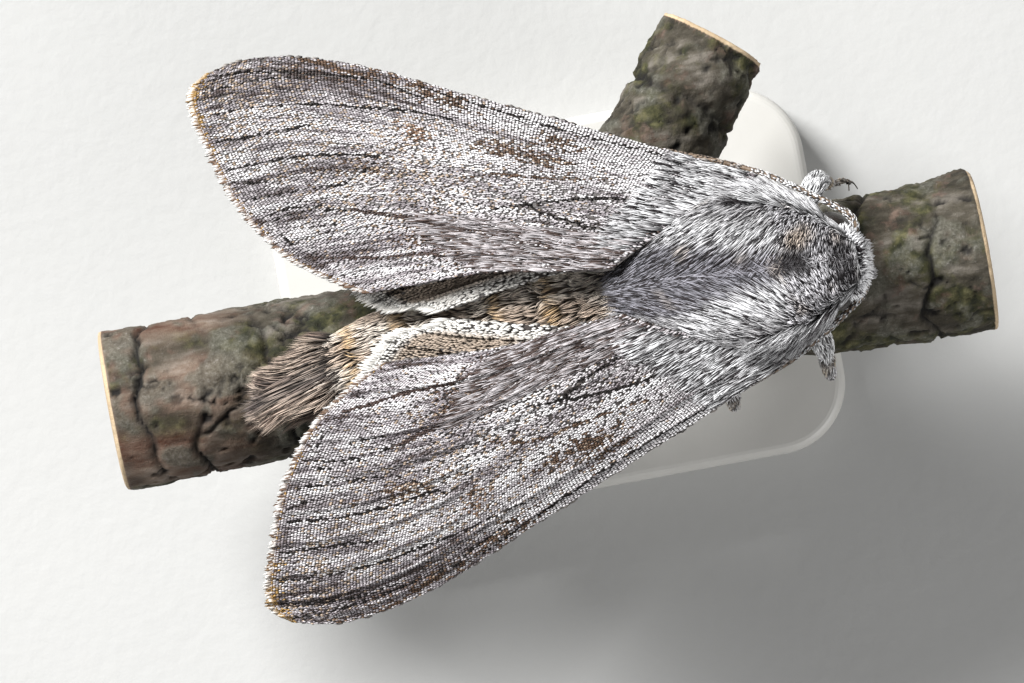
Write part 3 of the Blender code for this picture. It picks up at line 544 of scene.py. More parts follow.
def on_curve(points, share):
    """Points along a smooth curve, with an equal share for each stretch between given points."""
    p = np.array(points, float)
    last = len(p) - 1
    place = np.clip(share, 0.0, 1.0) * last
    i = np.minimum(place.astype(int), last - 1)
    t = (place - i)[..., None]
    a, b, c, d = p[np.maximum(i - 1, 0)], p[i], p[i + 1], p[np.minimum(i + 2, last)]
    bend = (2 * a - 5 * b + 4 * c - d) * t * t
    return 0.5 * (2 * b + (c - a) * t + bend + (3 * b - a - 3 * c + d) * t ** 3)


def unit(vectors):
    return vectors / np.maximum(np.linalg.norm(vectors, axis=-1, keepdims=True), 1e-9)


def limb_surface(points, thinner=0.0, profile=None):
    """Place on a limb for the length along it, the angle round it and a height over it, with its length."""
    spots = on_curve(points, np.linspace(0, 1, 160))
    steps = np.linalg.norm(np.diff(spots[:, :3], axis=0), axis=1)
    run = np.concatenate([[0.0], np.cumsum(steps)])
    ahead = unit(np.gradient(spots[:, :3], axis=0))
    side = np.cross([0.0, 0.0, 1.0], ahead[0])
    sides = []
    for way in ahead:
        side = side - way * (side @ way)
        side = side / np.linalg.norm(side)
        sides.append(side)
    sides = np.array(sides)
    ups = np.cross(ahead, sides)

    def surface(along, angle, rise):
        radius = np.interp(along, run, spots[:, 3]) - thinner
        if profile is not None:
            radius = radius * profile(along / run[-1])
        c, s = np.cos(angle), np.sin(angle)
        reach = np.maximum(radius + rise, 0.02)
        put = []
        for k in range(3):
            way = c * np.interp(along, run, ups[:, k]) + s * np.interp(along, run, sides[:, k])
            put.append(np.interp(along, run, spots[:, k]) + reach * way)
        return np.stack(np.broadcast_arrays(*put), axis=-1)
    return surface, run[-1]


def foot_point(x, degrees, height, radius):
    """A point of a foot, placed round the branch at a height over its bark."""
    angle = math.radians(degrees)
    reach = BRANCH_RADIUS + bark_swell(x, angle) + height
    return (x, BRANCH_Y + reach * math.sin(angle), BRANCH_Z + reach * math.cos(angle), radius)


def leg_profile(share):
    """Thickness along a leg: swollen thigh, knee, shin, then five short foot joints."""
    knees = 1.0 + 0.3 * hump(share, 0.36, 0.09) - 0.3 * hump(share, 0.47, 0.02)
    knees = knees - 0.22 * hump(share, 0.17, 0.02)
    foot = smooth(share, 0.68, 0.70)
    beads = 1.0 - 0.22 * foot * (np.abs(np.sin(math.pi * (share - 0.68) / 0.064)) < 0.35)
    return knees * beads * (1.0 - 0.2 * smooth(share, 0.5, 0.6) - 0.3 * foot)


def loft(bm, surface, stations, sides, rise):
    """A closed tube over a surface at the given places along it."""
    grid = surface(np.array(stations)[:, None], 2 * math.pi * np.arange(sides)[None, :] / sides, rise)
    tube(bm, len(stations) - 1, sides, lambda i, j: Vector(grid[i, j]))


head_surface, hood_surface = body_surface(HEAD), body_surface(HOOD)
thorax_surface, abdomen_surface = body_surface(THORAX), body_surface(ABDOMEN)
neck_surface = body_surface(NECK)
legs = {}
palps = {}
for name, (upper, lower) in LEGS.items():
    legs[name] = limb_surface(list(upper) + [foot_point(*row) for row in lower], 0.08, leg_profile)
for word, side in SIDES:
    lean, = read(SPINE, 10.0)
    palps[word] = limb_surface([(x, lean + side * out, z, r) for x, out, z, r in PALP], 0.1)


def ringed_abdomen(x, angle, rise):
    """The abdomen, drawn in where one of its rings meets the next."""
    from_middle = (((ABDOMEN_FRONT - x) / ABDOMEN_STEP) % 1.0 - 0.5) / 0.5
    return abdomen_surface(x, angle, rise - WAIST_DEPTH * np.exp(from_middle ** 2 - 1.0))


bm = bmesh.new()
loft(bm, head_surface, (10.3, 10.2, 10.05, 9.8, 9.4, 8.8, 8.2, 7.4), 32, -SHORT_DEPTH)
loft(bm, neck_surface, (9.5, 9.3, 9.0, 8.7, 8.4, 8.1, 7.9), 32, 0.0)
loft(bm, hood_surface, (9.75, 9.6, 9.2, 8.8, 8.4, 8.0, 7.6, 7.2), 40, -FUR_DEPTH)
loft(bm, thorax_surface, (8.3, 7.8, 7.4, 7.0, 6.4, 5.8, 5.2, 4.6, 4.0, 3.4, 2.8, 2.2, 1.6), 48, -FUR_DEPTH)
loft(bm, ringed_abdomen, [3.0 - 0.1 * i for i in range(124)], 40, -SHORT_DEPTH)
for surface, length in legs.values():
    loft(bm, surface, np.linspace(0, length, 90), 12, 0.0)
for surface, length in palps.values():
    loft(bm, surface, np.linspace(0, length - PALP_HAIR, 90), 12, 0.0)
skin_mesh = voxel_skin(bm, "moth_skin", SKIN_VOXEL, 3)
spots = points_of(skin_mesh)
outwards = normals_of(skin_mesh)
pores = grain_at(spots, 0.25, 11.0)
spots = spots + outwards * (0.012 * pores)[:, None]
skin_mesh.vertices.foreach_set("co", (spots * MM).ravel())
behind = smooth(-spots[:, 0], -2.4, -1.2)[:, None]
on_leg = smooth(14.0 - spots[:, 2], 0.2, 0.7)[:, None] * (1 - behind)
tone = 0.85 + 0.15 * pores[:, None]
FRONT_CHITIN, REAR_CHITIN = np.array((0.045, 0.038, 0.036)), np.array((0.11, 0.08, 0.055))
LEG_CHITIN = np.array((0.09, 0.07, 0.05))
paint(skin_mesh, "skin", tone * (FRONT_CHITIN * (1 - behind) + REAR_CHITIN * behind + LEG_CHITIN * on_leg))
skin_mesh.polygons.foreach_set("use_smooth", [True] * len(skin_mesh.polygons))
chitin = Finish("dark_chitin", Roughness=0.55)
skin_mesh.materials.clear()
skin_mesh.materials.append(chitin.wear(chitin.painted("skin"), bump=chitin.grain(chitin.place(), 0.06),
                                       depth=0.01))
seat(skin_mesh, "moth_skin", "grey_fur", "head", "collar", "thorax", "abdomen", "tail_tuft",
     "palp_left", "palp_right", *LEGS)

# Fur of the back. Long hair scales cover the thorax, thickest over the wing roots, and lie back and in
# towards the midline in pale combed bands on each side of a slate-grey strip.
BACK_STRIP = ((8.6, 0.3), (7.5, 0.6), (6.0, 0.75), (5.0, 1.0), (4.2, 1.25), (3.0, 1.15), (1.0, 0.6))
# x, then the inward turn of the hair beside the midline, half way out and at the side, in degrees
BACK_COMB = ((8.6, 62, 58, 30), (7.6, 50, 42, 12), (6.6, 44, 30, 5), (5.5, 34, 22, 2), (4.4, 24, 16, 0),
             (3.2, 20, 16, 2), (2.0, 12, 12, 4))
PALE_HAIR, WHITE_HAIR = np.array((0.60, 0.59, 0.60)), np.array((0.84, 0.84, 0.85))
SLATE_HAIR, DARK_HAIR = np.array((0.22, 0.215, 0.24)), np.array((0.016, 0.013, 0.014))
BUFF_HAIR = np.array((0.46, 0.37, 0.26))
# stations along each strand, and its width at all but the last, which is the tip
STATIONS = 4
FUR_PROFILE = (0.7, 1.0, 0.75)
# how far each station of a strand gives when it is pressed down, and a body length for the bake map
PRESSED = (0, 0.7, 1, 1)
FRONT_REACH = 11.0
draw = np.random.default_rng(5)


def stretch(surface, t, a):
    """Millimetres of surface for each unit of its two coordinates."""
    e = 1e-3
    along = np.linalg.norm(surface(t + e, a, 0.0) - surface(t - e, a, 0.0), axis=-1) / (2 * e)
    around = np.linalg.norm(surface(t, a + e, 0.0) - surface(t, a - e, 0.0), axis=-1) / (2 * e)
    return np.maximum(along, 1e-3), np.maximum(around, 1e-3)


def spread(surface, span, sweep, count):
    """Roots spread evenly by area over part of a surface, as its two coordinates."""
    t = draw.uniform(*span, 6 * count)
    a = draw.uniform(*sweep, 6 * count)
    along, around = stretch(surface, t, a)
    area = along * around
    kept = draw.uniform(0, 1, 6 * count) < area / np.percentile(area, 98)
    return t[kept][:count], a[kept][:count]


def comb(surface, t, a, length, turn, rise, shares=None):
    """Centrelines of strands at a height over the surface for each station, and the way up from it."""
    along, around = stretch(surface, t, a)
    share = (np.linspace(0, 1, rise.shape[1]) if shares is None else np.array(shares))[None, :]
    ts = t[:, None] + (length * np.cos(turn) / along)[:, None] * share
    angles = a[:, None] + (length * np.sin(turn) / around)[:, None] * share
    line = surface(ts, angles, rise)
    up = unit(surface(ts, angles, rise + 0.05) - line)
    return line, up


def gather(line, every, pull, reach=2.0):
    """Draws strands together into locks, each round one strand in so many."""
    chiefs = np.arange(0, len(line), every)
    roots = line[:, 0]
    near = np.empty(len(line), dtype=int)
    for start in range(0, len(line), 2000):
        part = roots[start:start + 2000]
        gaps = ((part[:, None, :] - roots[chiefs][None, :, :]) ** 2).sum(axis=-1)
        near[start:start + 2000] = chiefs[gaps.argmin(axis=1)]
    share = np.linspace(0, 1, line.shape[1])[None, :, None] ** reach
    return line + (line[near] - line) * share * pull


def coat(name, line, up, wide, deep, shades, places, slot, nodes, finish, profile):
    """Joins strands of flat three-cornered section into one piece, each tapering to a point."""
    count, stations = line.shape[:2]
    rings = stations - 1
    ahead = unit(np.gradient(line, axis=1))
    across = unit(np.cross(up, ahead))
    lift = np.cross(ahead, across)
    taper = np.array(profile)[None, :, None]
    half = across[:, :rings] * (wide[:, None, None] / 2) * taper
    crown = lift[:, :rings] * deep * taper
    middle = line[:, :rings]
    corners = np.stack([middle + half, middle + crown, middle - half], axis=2).reshape(count, rings * 3, 3)
    points = np.concatenate([corners, line[:, -1:]], axis=1) * MM
    quads = [(3 * r + k, 3 * r + (k + 1) % 3, 3 * r + 3 + (k + 1) % 3, 3 * r + 3 + k)
             for r in range(rings - 1) for k in range(3)]
    last = 3 * (rings - 1)
    ends = [(last + k, last + (k + 1) % 3, last + 3) for k in range(3)] + [(2, 1, 0)]
    corner_of = np.array([i for face in quads + ends for i in face])
    sizes = np.array([4] * len(quads) + [3] * len(ends))
    each = rings * 3 + 1
    loops = (corner_of[None, :] + each * np.arange(count)[:, None]).ravel()
    starts = np.concatenate([[0], np.cumsum(np.tile(sizes, count))[:-1]])
    mesh = bpy.data.meshes.new(name)
    mesh.vertices.add(count * each)
    mesh.vertices.foreach_set("co", points.astype(np.float32).ravel())
    mesh.loops.add(len(loops))
    mesh.loops.foreach_set("vertex_index", loops)
    mesh.polygons.add(len(starts))
    mesh.polygons.foreach_set("loop_start", starts)
    mesh.update(calc_edges=True)
    tones = np.concatenate([np.repeat(shades[:, :rings], 3, axis=1), shades[:, -1:]], axis=1)
    paint(mesh, "coat", np.clip(tones, 0.0, 1.0).reshape(-1, 3))
    patch = [(0.5 + 0.5 * (1 - k), r / rings) for r in range(rings) for k in range(3)]
    patch = np.array(patch + [(0.5, 1.0)])
    spots = places[:, None, :] + 0.003 * patch[None, :, :]
    unwrap = mesh.uv_layers.new(name="OFBake")
    unwrap.data.foreach_set("uv", spots.reshape(-1, 2)[loops].astype(np.float32).ravel())
    mesh.materials.append(finish)
    return seat(mesh, name, slot, *nodes)


def fade(root, tip, stations, start=0.25, full=0.72):
    """Colours along strands, which turn from the root's to the tip's between two shares of the length."""
    share = smooth(np.linspace(0, 1, stations), start, full)[None, :, None]
    return root[:, None, :] * (1 - share) + tip[:, None, :] * share


def pick(value, one, other):
    """Mixes one colour into another for each strand by a share from 0 to 1."""
    return one * (1 - value[:, None]) + other * value[:, None]


def vary(count, share):
    """A factor for each strand, up to that share above or below 1."""
    return (1.0 + share * draw.uniform(-1, 1, count))[:, None]


def some(share, colour, tone):
    """Gives that share of the strands another colour."""
    return np.where((draw.uniform(0, 1, len(tone)) < share)[:, None], colour, tone)


def laid(count, heights, press, given=PRESSED):
    """Heights of strands over the surface for each station, each strand pressed down by its own amount."""
    return np.array(heights)[None, :] - draw.uniform(0.0, press, count)[:, None] * np.array(given)[None, :]


def raised(count, heights, low, high):
    """Heights of strands over the surface for each station, each strand's scaled by its own factor."""
    return np.array(heights)[None, :] * draw.uniform(low, high, count)[:, None]


def round_places(angle, along, reach):
    """Places on the bake map from the angle round a part and the length along it, out of its reach."""
    return np.stack([0.02 + 0.95 * (angle / (2 * math.pi) % 1.0), 0.02 + 0.95 * along / reach], axis=1)


def coat_finish(name, roughness, sheen):
    """A matt finish that takes its colour from each strand."""
    made = Finish(name, Roughness=roughness, Sheen_Weight=sheen, Specular_IOR_Level=0.22)
    return made.wear(made.painted("coat"))


def back_shades(line):
    """Colours of the hair of the thorax from where its middle lies, seen from above."""
    middle = line[:, STATIONS // 2]
    x, off = middle[:, 0], middle[:, 1] - read(SPINE, middle[:, 0])[0]
    wide, = read(BACK_STRIP, x)
    strip = 1 - smooth(np.abs(off) + 0.12 * grain_at(middle, 0.7, 21.0), wide - 0.15, wide + 0.2)
    band = hump(np.abs(off) - wide, 0.45, 0.5) * smooth(x, 3.4, 4.2) * smooth(-x, -8.2, -7.4)
    tone = pick(strip, PALE_HAIR, SLATE_HAIR)
    tone = pick(np.clip(band, 0, 1) * 0.9, tone, WHITE_HAIR)
    tone = pick(smooth(grain_at(middle, 1.1, 22.0), 0.35, 0.9) * 0.35, tone, BUFF_HAIR)
    tone = tone * draw.uniform(0.45, 1.2 + 0.5 * strip, len(x))[:, None]
    dark = draw.uniform(0, 1, len(x)) < 0.22 + 0.12 * strip
    tip = np.where(dark[:, None], DARK_HAIR * 1.6, tone)
    return fade(tip * 0.05 + DARK_HAIR * 0.4, tip, STATIONS)


fur_finish = coat_finish("hair_scales", 0.55, 0.03)


def hair(name, line, up, widths, deep, root, tone, places, nodes, slot="grey_fur", finish=fur_finish):
    """A coat of strands of mixed width in one colour each, which is far darker at the root."""
    wide = draw.uniform(*widths, len(line))
    shades = fade(tone * root, tone, STATIONS)
    coat(name, line, up, wide, deep, shades, places, slot, nodes, finish, FUR_PROFILE)


for word, side in SIDES:
    x, angle = spread(thorax_surface, (2.3, 7.9), sorted((0.0, 1.75 * side)), 8200)
    out = np.clip(np.abs(angle) / 1.35, 0, 1)
    near, half, far = read(BACK_COMB, x)
    inward = np.where(out < 0.5, near + (half - near) * out * 2, half + (far - half) * (out * 2 - 1))
    inward = inward * smooth(np.abs(angle), 0.02, 0.16) + draw.normal(0, 5, len(x))
    turn = math.pi + np.sign(angle) * np.radians(inward)
    long = 1.2 * draw.uniform(0.7, 1.15, len(x))
    rise = laid(len(x), (-FUR_DEPTH - 0.05, -0.15, -0.02, -0.03), 0.15)
    line, up = comb(thorax_surface, x, angle, long, turn, rise)
    line = gather(line, 12, 0.3)
    wide = draw.uniform(0.03, 0.046, len(x))
    coat(f"thorax_fur_{word}", line, up, wide, 0.018, back_shades(line), round_places(angle, x, FRONT_REACH),
         "grey_fur", ("thorax",), fur_finish, FUR_PROFILE)

# Shoulders. Tufts of long pale hair scales stand out from the side of the thorax and hood over each
# wing's root, and close the gap up to the feeler.
for word, side in SIDES:
    x, angle = spread(thorax_surface, (6.4, 8.35), (0.85, 1.75), 1300)
    x_hood, angle_hood = spread(hood_surface, (8.0, 9.3), (1.0, 1.7), 700)
    tufts = []
    for surface, at, about, heights, longest in (
            (thorax_surface, x, angle, (-FUR_DEPTH - 0.04, -0.05, 0.28, 0.5), (0.8, 1.3)),
            (hood_surface, x_hood, angle_hood, (-FUR_DEPTH - 0.04, -0.1, 0.2, 0.36), (0.6, 1.0))):
        rise = raised(len(at), heights, 0.25, 1.0)
        long = draw.uniform(*longest, len(at))
        turn = math.pi + side * draw.normal(0.06, 0.12, len(at))
        tufts.append(comb(surface, at, side * about, long, turn, rise))
    line, up = (np.concatenate(halves) for halves in zip(*tufts))
    line = gather(line, 9, 0.3)
    tone = pick(smooth(grain_at(line[:, 2], 0.6, 24.0), -0.2, 0.7), WHITE_HAIR, PALE_HAIR * 0.85)
    tone = tone * draw.uniform(0.4, 1.0, len(line))[:, None]
    tone = some(0.26, DARK_HAIR * 2, tone)
    places = np.stack([0.02 + 0.95 * np.concatenate([angle, angle_hood]) * 0.5,
                       0.02 + 0.95 * np.concatenate([x, x_hood]) / FRONT_REACH], axis=1)
    hair(f"shoulder_fur_{word}", line, up, (0.032, 0.05), 0.018, 0.1, tone, places, ("thorax", "collar"))

# Hood. Short stiff hair scales stand round the neck in a raised cowl, a mark of these moths.
# On each side they run from a white rim in to the crest, almost straight across at the very front.
HOOD_COMB = ((9.9, 86), (9.2, 80), (8.6, 68), (8.0, 56), (7.4, 46))
HOOD_GREY, HOOD_BROWN = np.array((0.60, 0.59, 0.61)), np.array((0.58, 0.49, 0.41))
HOOD_DARK = np.array((0.10, 0.09, 0.095))

for word, side in SIDES:
    x, angle = spread(hood_surface, (7.6, 9.95), sorted((0.0, 1.65 * side)), 4700)
    inward, = read(HOOD_COMB, x)
    rim = smooth(np.abs(angle), 1.0, 1.2)
    inward = inward * smooth(np.abs(angle), 0.02, 0.2) * (1 - rim) - 8 * rim + draw.normal(0, 10, len(x))
    turn = math.pi + np.sign(angle) * np.radians(inward)
    long = (0.56 + 0.2 * rim) * draw.uniform(0.75, 1.2, len(x))
    rise = laid(len(x), (-FUR_DEPTH - 0.03, -0.17, -0.03, 0.05), 0.16)
    line, up = comb(hood_surface, x, angle, long, turn, rise)
    line = gather(line, 8, 0.4)
    middle = line[:, 2]
    off = middle[:, 1] - read(SPINE, middle[:, 0])[0]
    front = smooth(middle[:, 0], 8.7, 9.3) * (1 - smooth(np.abs(off + 0.1), 0.5, 1.0))
    tone = pick(smooth(grain_at(middle, 0.9, 31.0), 0.0, 0.8), HOOD_GREY, HOOD_BROWN)
    tone = pick(front * 0.6, tone, HOOD_DARK)
    apex = smooth(-middle[:, 0], -8.6, -8.1) * (1 - smooth(np.abs(off), 0.25, 0.6))
    tone = pick(np.clip(apex, 0, 1) * 0.9, tone, DARK_HAIR)
    edge = np.maximum(rim, smooth(middle[:, 0], 9.75, 10.0))
    tone = pick(edge, tone, WHITE_HAIR) * draw.uniform(0.4, 1.5 - 0.35 * edge, len(x))[:, None]
    tone = some(0.42 - 0.22 * edge + 0.25 * front * (1 - edge), DARK_HAIR, tone)
    hair(f"hood_fur_{word}", line, up, (0.03, 0.046), 0.018, 0.05, tone, round_places(angle, x, FRONT_REACH),
         ("collar",))

# Fur below and at the sides of the thorax. Softer, plainer grey hair lies back along the breast.
x, angle = spread(thorax_surface, (2.0, 8.3), (1.6, 2 * math.pi - 1.6), 1500)
long = 1.0 * draw.uniform(0.7, 1.2, len(x))
rise = laid(len(x), (-FUR_DEPTH - 0.04, -0.18, -0.06, -0.1), 0.2)
line, up = comb(thorax_surface, x, angle, long, math.pi + draw.normal(0, 0.2, len(x)), rise)
line = gather(line, 18, 0.5)
tone = pick(smooth(grain_at(line[:, 2], 1.0, 23.0), -0.3, 0.8), PALE_HAIR * 0.85, BUFF_HAIR)
tone = tone * vary(len(x), 0.3)
hair("breast_fur", line, up, (0.07, 0.11), 0.02, 0.12, tone, round_places(angle, x, FRONT_REACH), ("thorax",))

# Head. Rough grey scales cover the face between the eyes, and a ruff of white club-tipped scales
# stands forward over the brow, where the hood's front edge meets the head.
x, angle = spread(head_surface, (7.9, 10.28), (0.0, 2 * math.pi), 1700)
long = 0.42 * draw.uniform(0.7, 1.2, len(x))
forward = smooth(x, 9.3, 9.9)
turn = math.pi * (1 - forward) + draw.normal(0, 0.3, len(x))
rise = laid(len(x), (-SHORT_DEPTH - 0.03, -0.06, -0.01, 0.03), 0.06, (1, 1, 1, 1))
line, up = comb(head_surface, x, angle, long, turn, rise)
line = gather(line, 8, 0.4)
top = smooth(np.cos(angle), 0.2, 0.8)
tone = pick(top, PALE_HAIR * 0.7, WHITE_HAIR) * vary(len(x), 0.35)
hair("face_scales", line, up, (0.05, 0.08), 0.022, 0.08, tone, round_places(angle, x, FRONT_REACH), ("head",))

# soft grey hair clothes the short neck between head and hood
x, angle = spread(neck_surface, (8.1, 9.5), (0.0, 2 * math.pi), 420)
rise = raised(len(x), (-0.03, 0.12, 0.24, 0.32), 0.6, 1.1)
long = 0.4 * draw.uniform(0.7, 1.2, len(x))
line, up = comb(neck_surface, x, angle, long, draw.normal(0, 0.3, len(x)), rise)
tone = SLATE_HAIR * 1.4 * draw.uniform(0.5, 1.4, len(x))[:, None]
hair("neck_hair", line, up, (0.05, 0.08), 0.022, 0.1, tone, round_places(angle, x, FRONT_REACH),
     ("head", "collar"))

# the ruff stands out in a half circle round the brow, in tiers one over the other
RUFF = 2400
bearing = np.radians(draw.uniform(-78, 78, RUFF))
tier = draw.uniform(0, 1, RUFF)
lean, = read(SPINE, np.array([9.9]))
root = np.stack([9.62 + 0.5 * np.cos(bearing) - 0.2 * tier, lean + (0.68 + 0.3 * tier) * np.sin(bearing),
                 15.75 + 1.15 * tier], axis=1)
way = unit(np.stack([np.cos(bearing * 0.9), np.sin(bearing * 0.9), draw.normal(0.35, 0.3, RUFF)], axis=1)
           + draw.normal(0, 0.4, (RUFF, 3)))
share = np.linspace(0, 1, STATIONS)[None, :, None]
line = root[:, None, :] + way[:, None, :] * share * (0.5 * draw.uniform(0.6, 1.2, RUFF))[:, None, None]
line = gather(line, 5, 0.3)
up = np.broadcast_to(np.array([0.0, 0.0, 1.0]), line.shape)
tone = some(0.2, DARK_HAIR * 2, WHITE_HAIR * vary(RUFF, 0.2))
places = np.stack([0.02 + 0.95 * ((bearing / (2 * math.pi)) % 1.0), 0.9 + 0.08 * tier], axis=1)
coat("brow_ruff", line, up, draw.uniform(0.035, 0.06, RUFF), 0.025,
     fade(tone * 0.06, tone, STATIONS, 0.1, 0.5), places, "grey_fur", ("head",), fur_finish, (0.5, 0.9, 1.1))

for word, side in SIDES:
    surface, length = palps[word]
    t, angle = spread(surface, (0.1, length - PALP_HAIR), (0.0, 2 * math.pi), 380)
    rise = laid(len(t), (-0.02, 0.04, 0.06, 0.05), 0.03, (1, 1, 1, 1))
    long = 0.22 * draw.uniform(0.7, 1.2, len(t))
    line, up = comb(surface, t, angle, long, draw.normal(0, 0.25, len(t)), rise)
    tone = PALE_HAIR * vary(len(t), 0.4)
    hair(f"palp_hair_{word}", line, up, (0.045, 0.07), 0.02, 0.12, tone, round_places(angle, t, length),
         (f"palp_{word}",))

# Eyes. Each is a dark glossy globe of hundreds of six-sided lenses, set deep in the side of the head
# under the feeler, with the face scales close round it.
EYE_X, EYE_SIDE, EYE_Z, EYE_RADIUS = 9.35, 0.95, 15.05, 0.72
cornea = Finish("compound_eye", Roughness=0.35, Coat_Weight=0.08, Coat_Roughness=0.15)
spot = cornea.place()
lenses = cornea.node("ShaderNodeTexVoronoi", {"feature": "F1"}, {"Vector": spot, "Scale": 1 / 0.055})
bands = cornea.grain(spot, 0.5, 2.0)
eye_finish = cornea.wear(cornea.ramp(bands, (0.35, (0.006, 0.005, 0.004)), (0.65, (0.022, 0.015, 0.011))),
                         bump=1.0 - lenses, depth=0.012)
for word, side in SIDES:
    bm = bmesh.new()
    bmesh.ops.create_icosphere(bm, subdivisions=5, radius=EYE_RADIUS)
    lean, = read(SPINE, np.array([EYE_X]))
    bmesh.ops.translate(bm, vec=(EYE_X, float(lean[0]) + side * EYE_SIDE, EYE_Z), verts=bm.verts)
    finish_mesh(bm, f"eye_lens_{word}", eye_finish, "eye", f"eye_{word}")

# Feelers. Thread-like, of some sixty short rings, white-scaled above near the root and brown beyond.
# Each leaves the top of the head, turns back beside the hood and lies hidden under the forewing's edge.
# x, distance from the middle, height and radius
ANTENNA = ((9.7, 0.5, 15.5, 0.12), (10.1, 0.8, 16.25, 0.14), (10.0, 1.28, 16.35, 0.12),
           (9.4, 1.8, 16.2, 0.1), (8.5, 2.42, 15.95, 0.095), (7.2, 3.2, 15.6, 0.09),
           (5.2, 4.0, 15.2, 0.085), (2.8, 4.85, 14.9, 0.08), (0.6, 5.5, 14.6, 0.07), (-1.2, 5.9, 14.35, 0.04))
ANTENNA_OUT = {"left": 0.15, "right": -0.1}
RING_PITCH = 0.17
FEELER_BROWN = np.array((0.26, 0.20, 0.15))
horn = Finish("feeler_rings", Roughness=0.5)
horn_browns = horn.ramp(horn.grain(horn.place(), 0.2), (0.4, (0.10, 0.065, 0.04)), (0.6, (0.17, 0.12, 0.08)))
horn_finish = horn.wear(horn_browns, bump=horn.grain(horn.place(), 0.03), depth=0.01)
for word, side in SIDES:
    lean, = read(SPINE, np.array([EYE_X]))
    points = []
    for x, out, z, radius in ANTENNA:
        held = float(lean[0]) * min(max((x - 5.0) / 4.5, 0.0), 1.0)
        points.append((x, held + side * (out + ANTENNA_OUT[word]), z, radius))
    surface, length = limb_surface(points)

    def ringed(along, angle, rise):
        """The feeler, drawn in between its rings."""
        beat = np.abs(np.sin(math.pi * along / RING_PITCH)) ** 0.6
        return surface(along, angle, rise - 0.01 * (1.0 - beat))

    bm = bmesh.new()
    loft(bm, ringed, np.linspace(0, length, int(length / RING_PITCH * 6)), 12, 0.0)
    bmesh.ops.recalc_face_normals(bm, faces=bm.faces)
    finish_mesh(bm, f"feeler_{word}", horn_finish, "feeler", f"antenna_{word}")
    t, angle = spread(surface, (0.3, length * 0.92), (0.0, 2 * math.pi), 1000)
    rise = np.array([-0.01, 0.007, 0.015, 0.022])[None, :] + np.zeros((len(t), 1))
    long = 0.15 * draw.uniform(0.8, 1.2, len(t))
    line, up = comb(surface, t, angle, long, draw.normal(0, 0.2, len(t)), rise)
    tone = pick(1 - smooth(t, 4.0, 7.0), FEELER_BROWN, WHITE_HAIR) * vary(len(t), 0.25)
    tone = some(0.2, DARK_HAIR * 3, tone)
    hair(f"feeler_scales_{word}", line, up, (0.045, 0.065), 0.01, 0.12, tone, round_places(angle, t, length),
         (f"antenna_{word}",), "feeler")

# Legs. Scales and hair clothe thigh and shin thickly and the five foot joints thinly, grey-buff with
# dark rings at the joints. Each foot ends in two small hooked claws that hold the bark.
CLAW_LENGTH, CLAW_RADIUS = 0.34, 0.055
claw_horn = Finish("claw_horn", Roughness=0.25)
claw_browns = claw_horn.ramp(claw_horn.grain(claw_horn.place(), 0.1), (0.4, (0.03, 0.018, 0.01)),
                             (0.6, (0.07, 0.045, 0.025)))
claw_finish = claw_horn.wear(claw_browns)
LEG_JOINTS = (0.47, 0.68, 0.745, 0.81, 0.87, 0.935)
JOINT_BROWN = np.array((0.09, 0.07, 0.055))
for name, (surface, length) in legs.items():
    in_front = name.startswith("foreleg")
    t, angle = spread(surface, (0.4, length - 0.1), (0.0, 2 * math.pi), 900 if in_front else 520)
    thigh = 1 - smooth(t / length, 0.55, 0.7)
    long = (0.2 + 0.32 * thigh) * draw.uniform(0.7, 1.2, len(t))
    lift = (0.5 + 0.5 * thigh)[:, None]
    rise = np.array([-0.02, 0.03, 0.06, 0.09])[None, :] * lift - draw.uniform(0, 0.02, len(t))[:, None]
    line, up = comb(surface, t, angle, long, draw.normal(0, 0.22, len(t)), rise)
    # dark rings at the joints
    ring = sum(hump(t / length, place, 0.018) for place in LEG_JOINTS)
    tone = pick(smooth(grain_at(line[:, 2], 0.6, 41.0), -0.4, 0.6), PALE_HAIR, BUFF_HAIR)
    if in_front:
        tone = pick(1 - smooth(t / length, 0.4, 0.5), tone, WHITE_HAIR)
    tone = pick(np.clip(ring, 0, 1) * 0.8, tone, JOINT_BROWN) * vary(len(t), 0.35)
    hair(f"{name}_scales", line, up, (0.045, 0.07), 0.018, 0.15, tone, round_places(angle, t, length),
         (name,), "leg_scales")
    # the two claws spread from the foot's end and curve down onto the bark
    bm = bmesh.new()
    tip = surface(np.array([length]), np.array([0.0]), -1.0)[0]
    back = surface(np.array([length - 0.3]), np.array([0.0]), -1.0)[0]
    ahead = Vector(tip - back).normalized()
    upward = Vector((0.0, tip[1] - BRANCH_Y, tip[2] - BRANCH_Z)).normalized()
    sideways = ahead.cross(upward).normalized()
    for turn in (-0.45, 0.45):
        hooked = []
        for s in (0.0, 0.3, 0.6, 0.85, 1.0):
            spot = Vector(tip) + ahead * (CLAW_LENGTH * s) + sideways * (turn * CLAW_LENGTH * s)
            spot = spot + upward * (0.05 * math.sin(math.pi * s) - 0.2 * s * s)
            hooked.append((*spot, CLAW_RADIUS * (1.05 - s)))
        hook, reach = limb_surface(hooked)
        loft(bm, hook, np.linspace(0, reach, 12), 8, 0.0)
    bmesh.ops.recalc_face_normals(bm, faces=bm.faces)
    finish_mesh(bm, f"{name}_claws", claw_finish, "leg_scales", name)

# Abdomen. Soft buff-grey hair scales lie back over seven rings, each edged with ochre, and end in a
# broad fan of long pinkish-brown hair that spreads over the branch.
BANDS = (-0.4, -2.2, -5.5, -7.2)
OCHRE = np.array((0.56, 0.36, 0.15))
CREAM_HAIR, FAWN_HAIR = np.array((0.82, 0.74, 0.65)), np.array((0.50, 0.40, 0.32))
TAIL_BROWN, TAIL_DARK = np.array((0.46, 0.37, 0.30)), np.array((0.14, 0.10, 0.08))
TAIL_MIDDLE = np.array((0.09, 0.08, 0.08))
REAR_REACH = 15.0

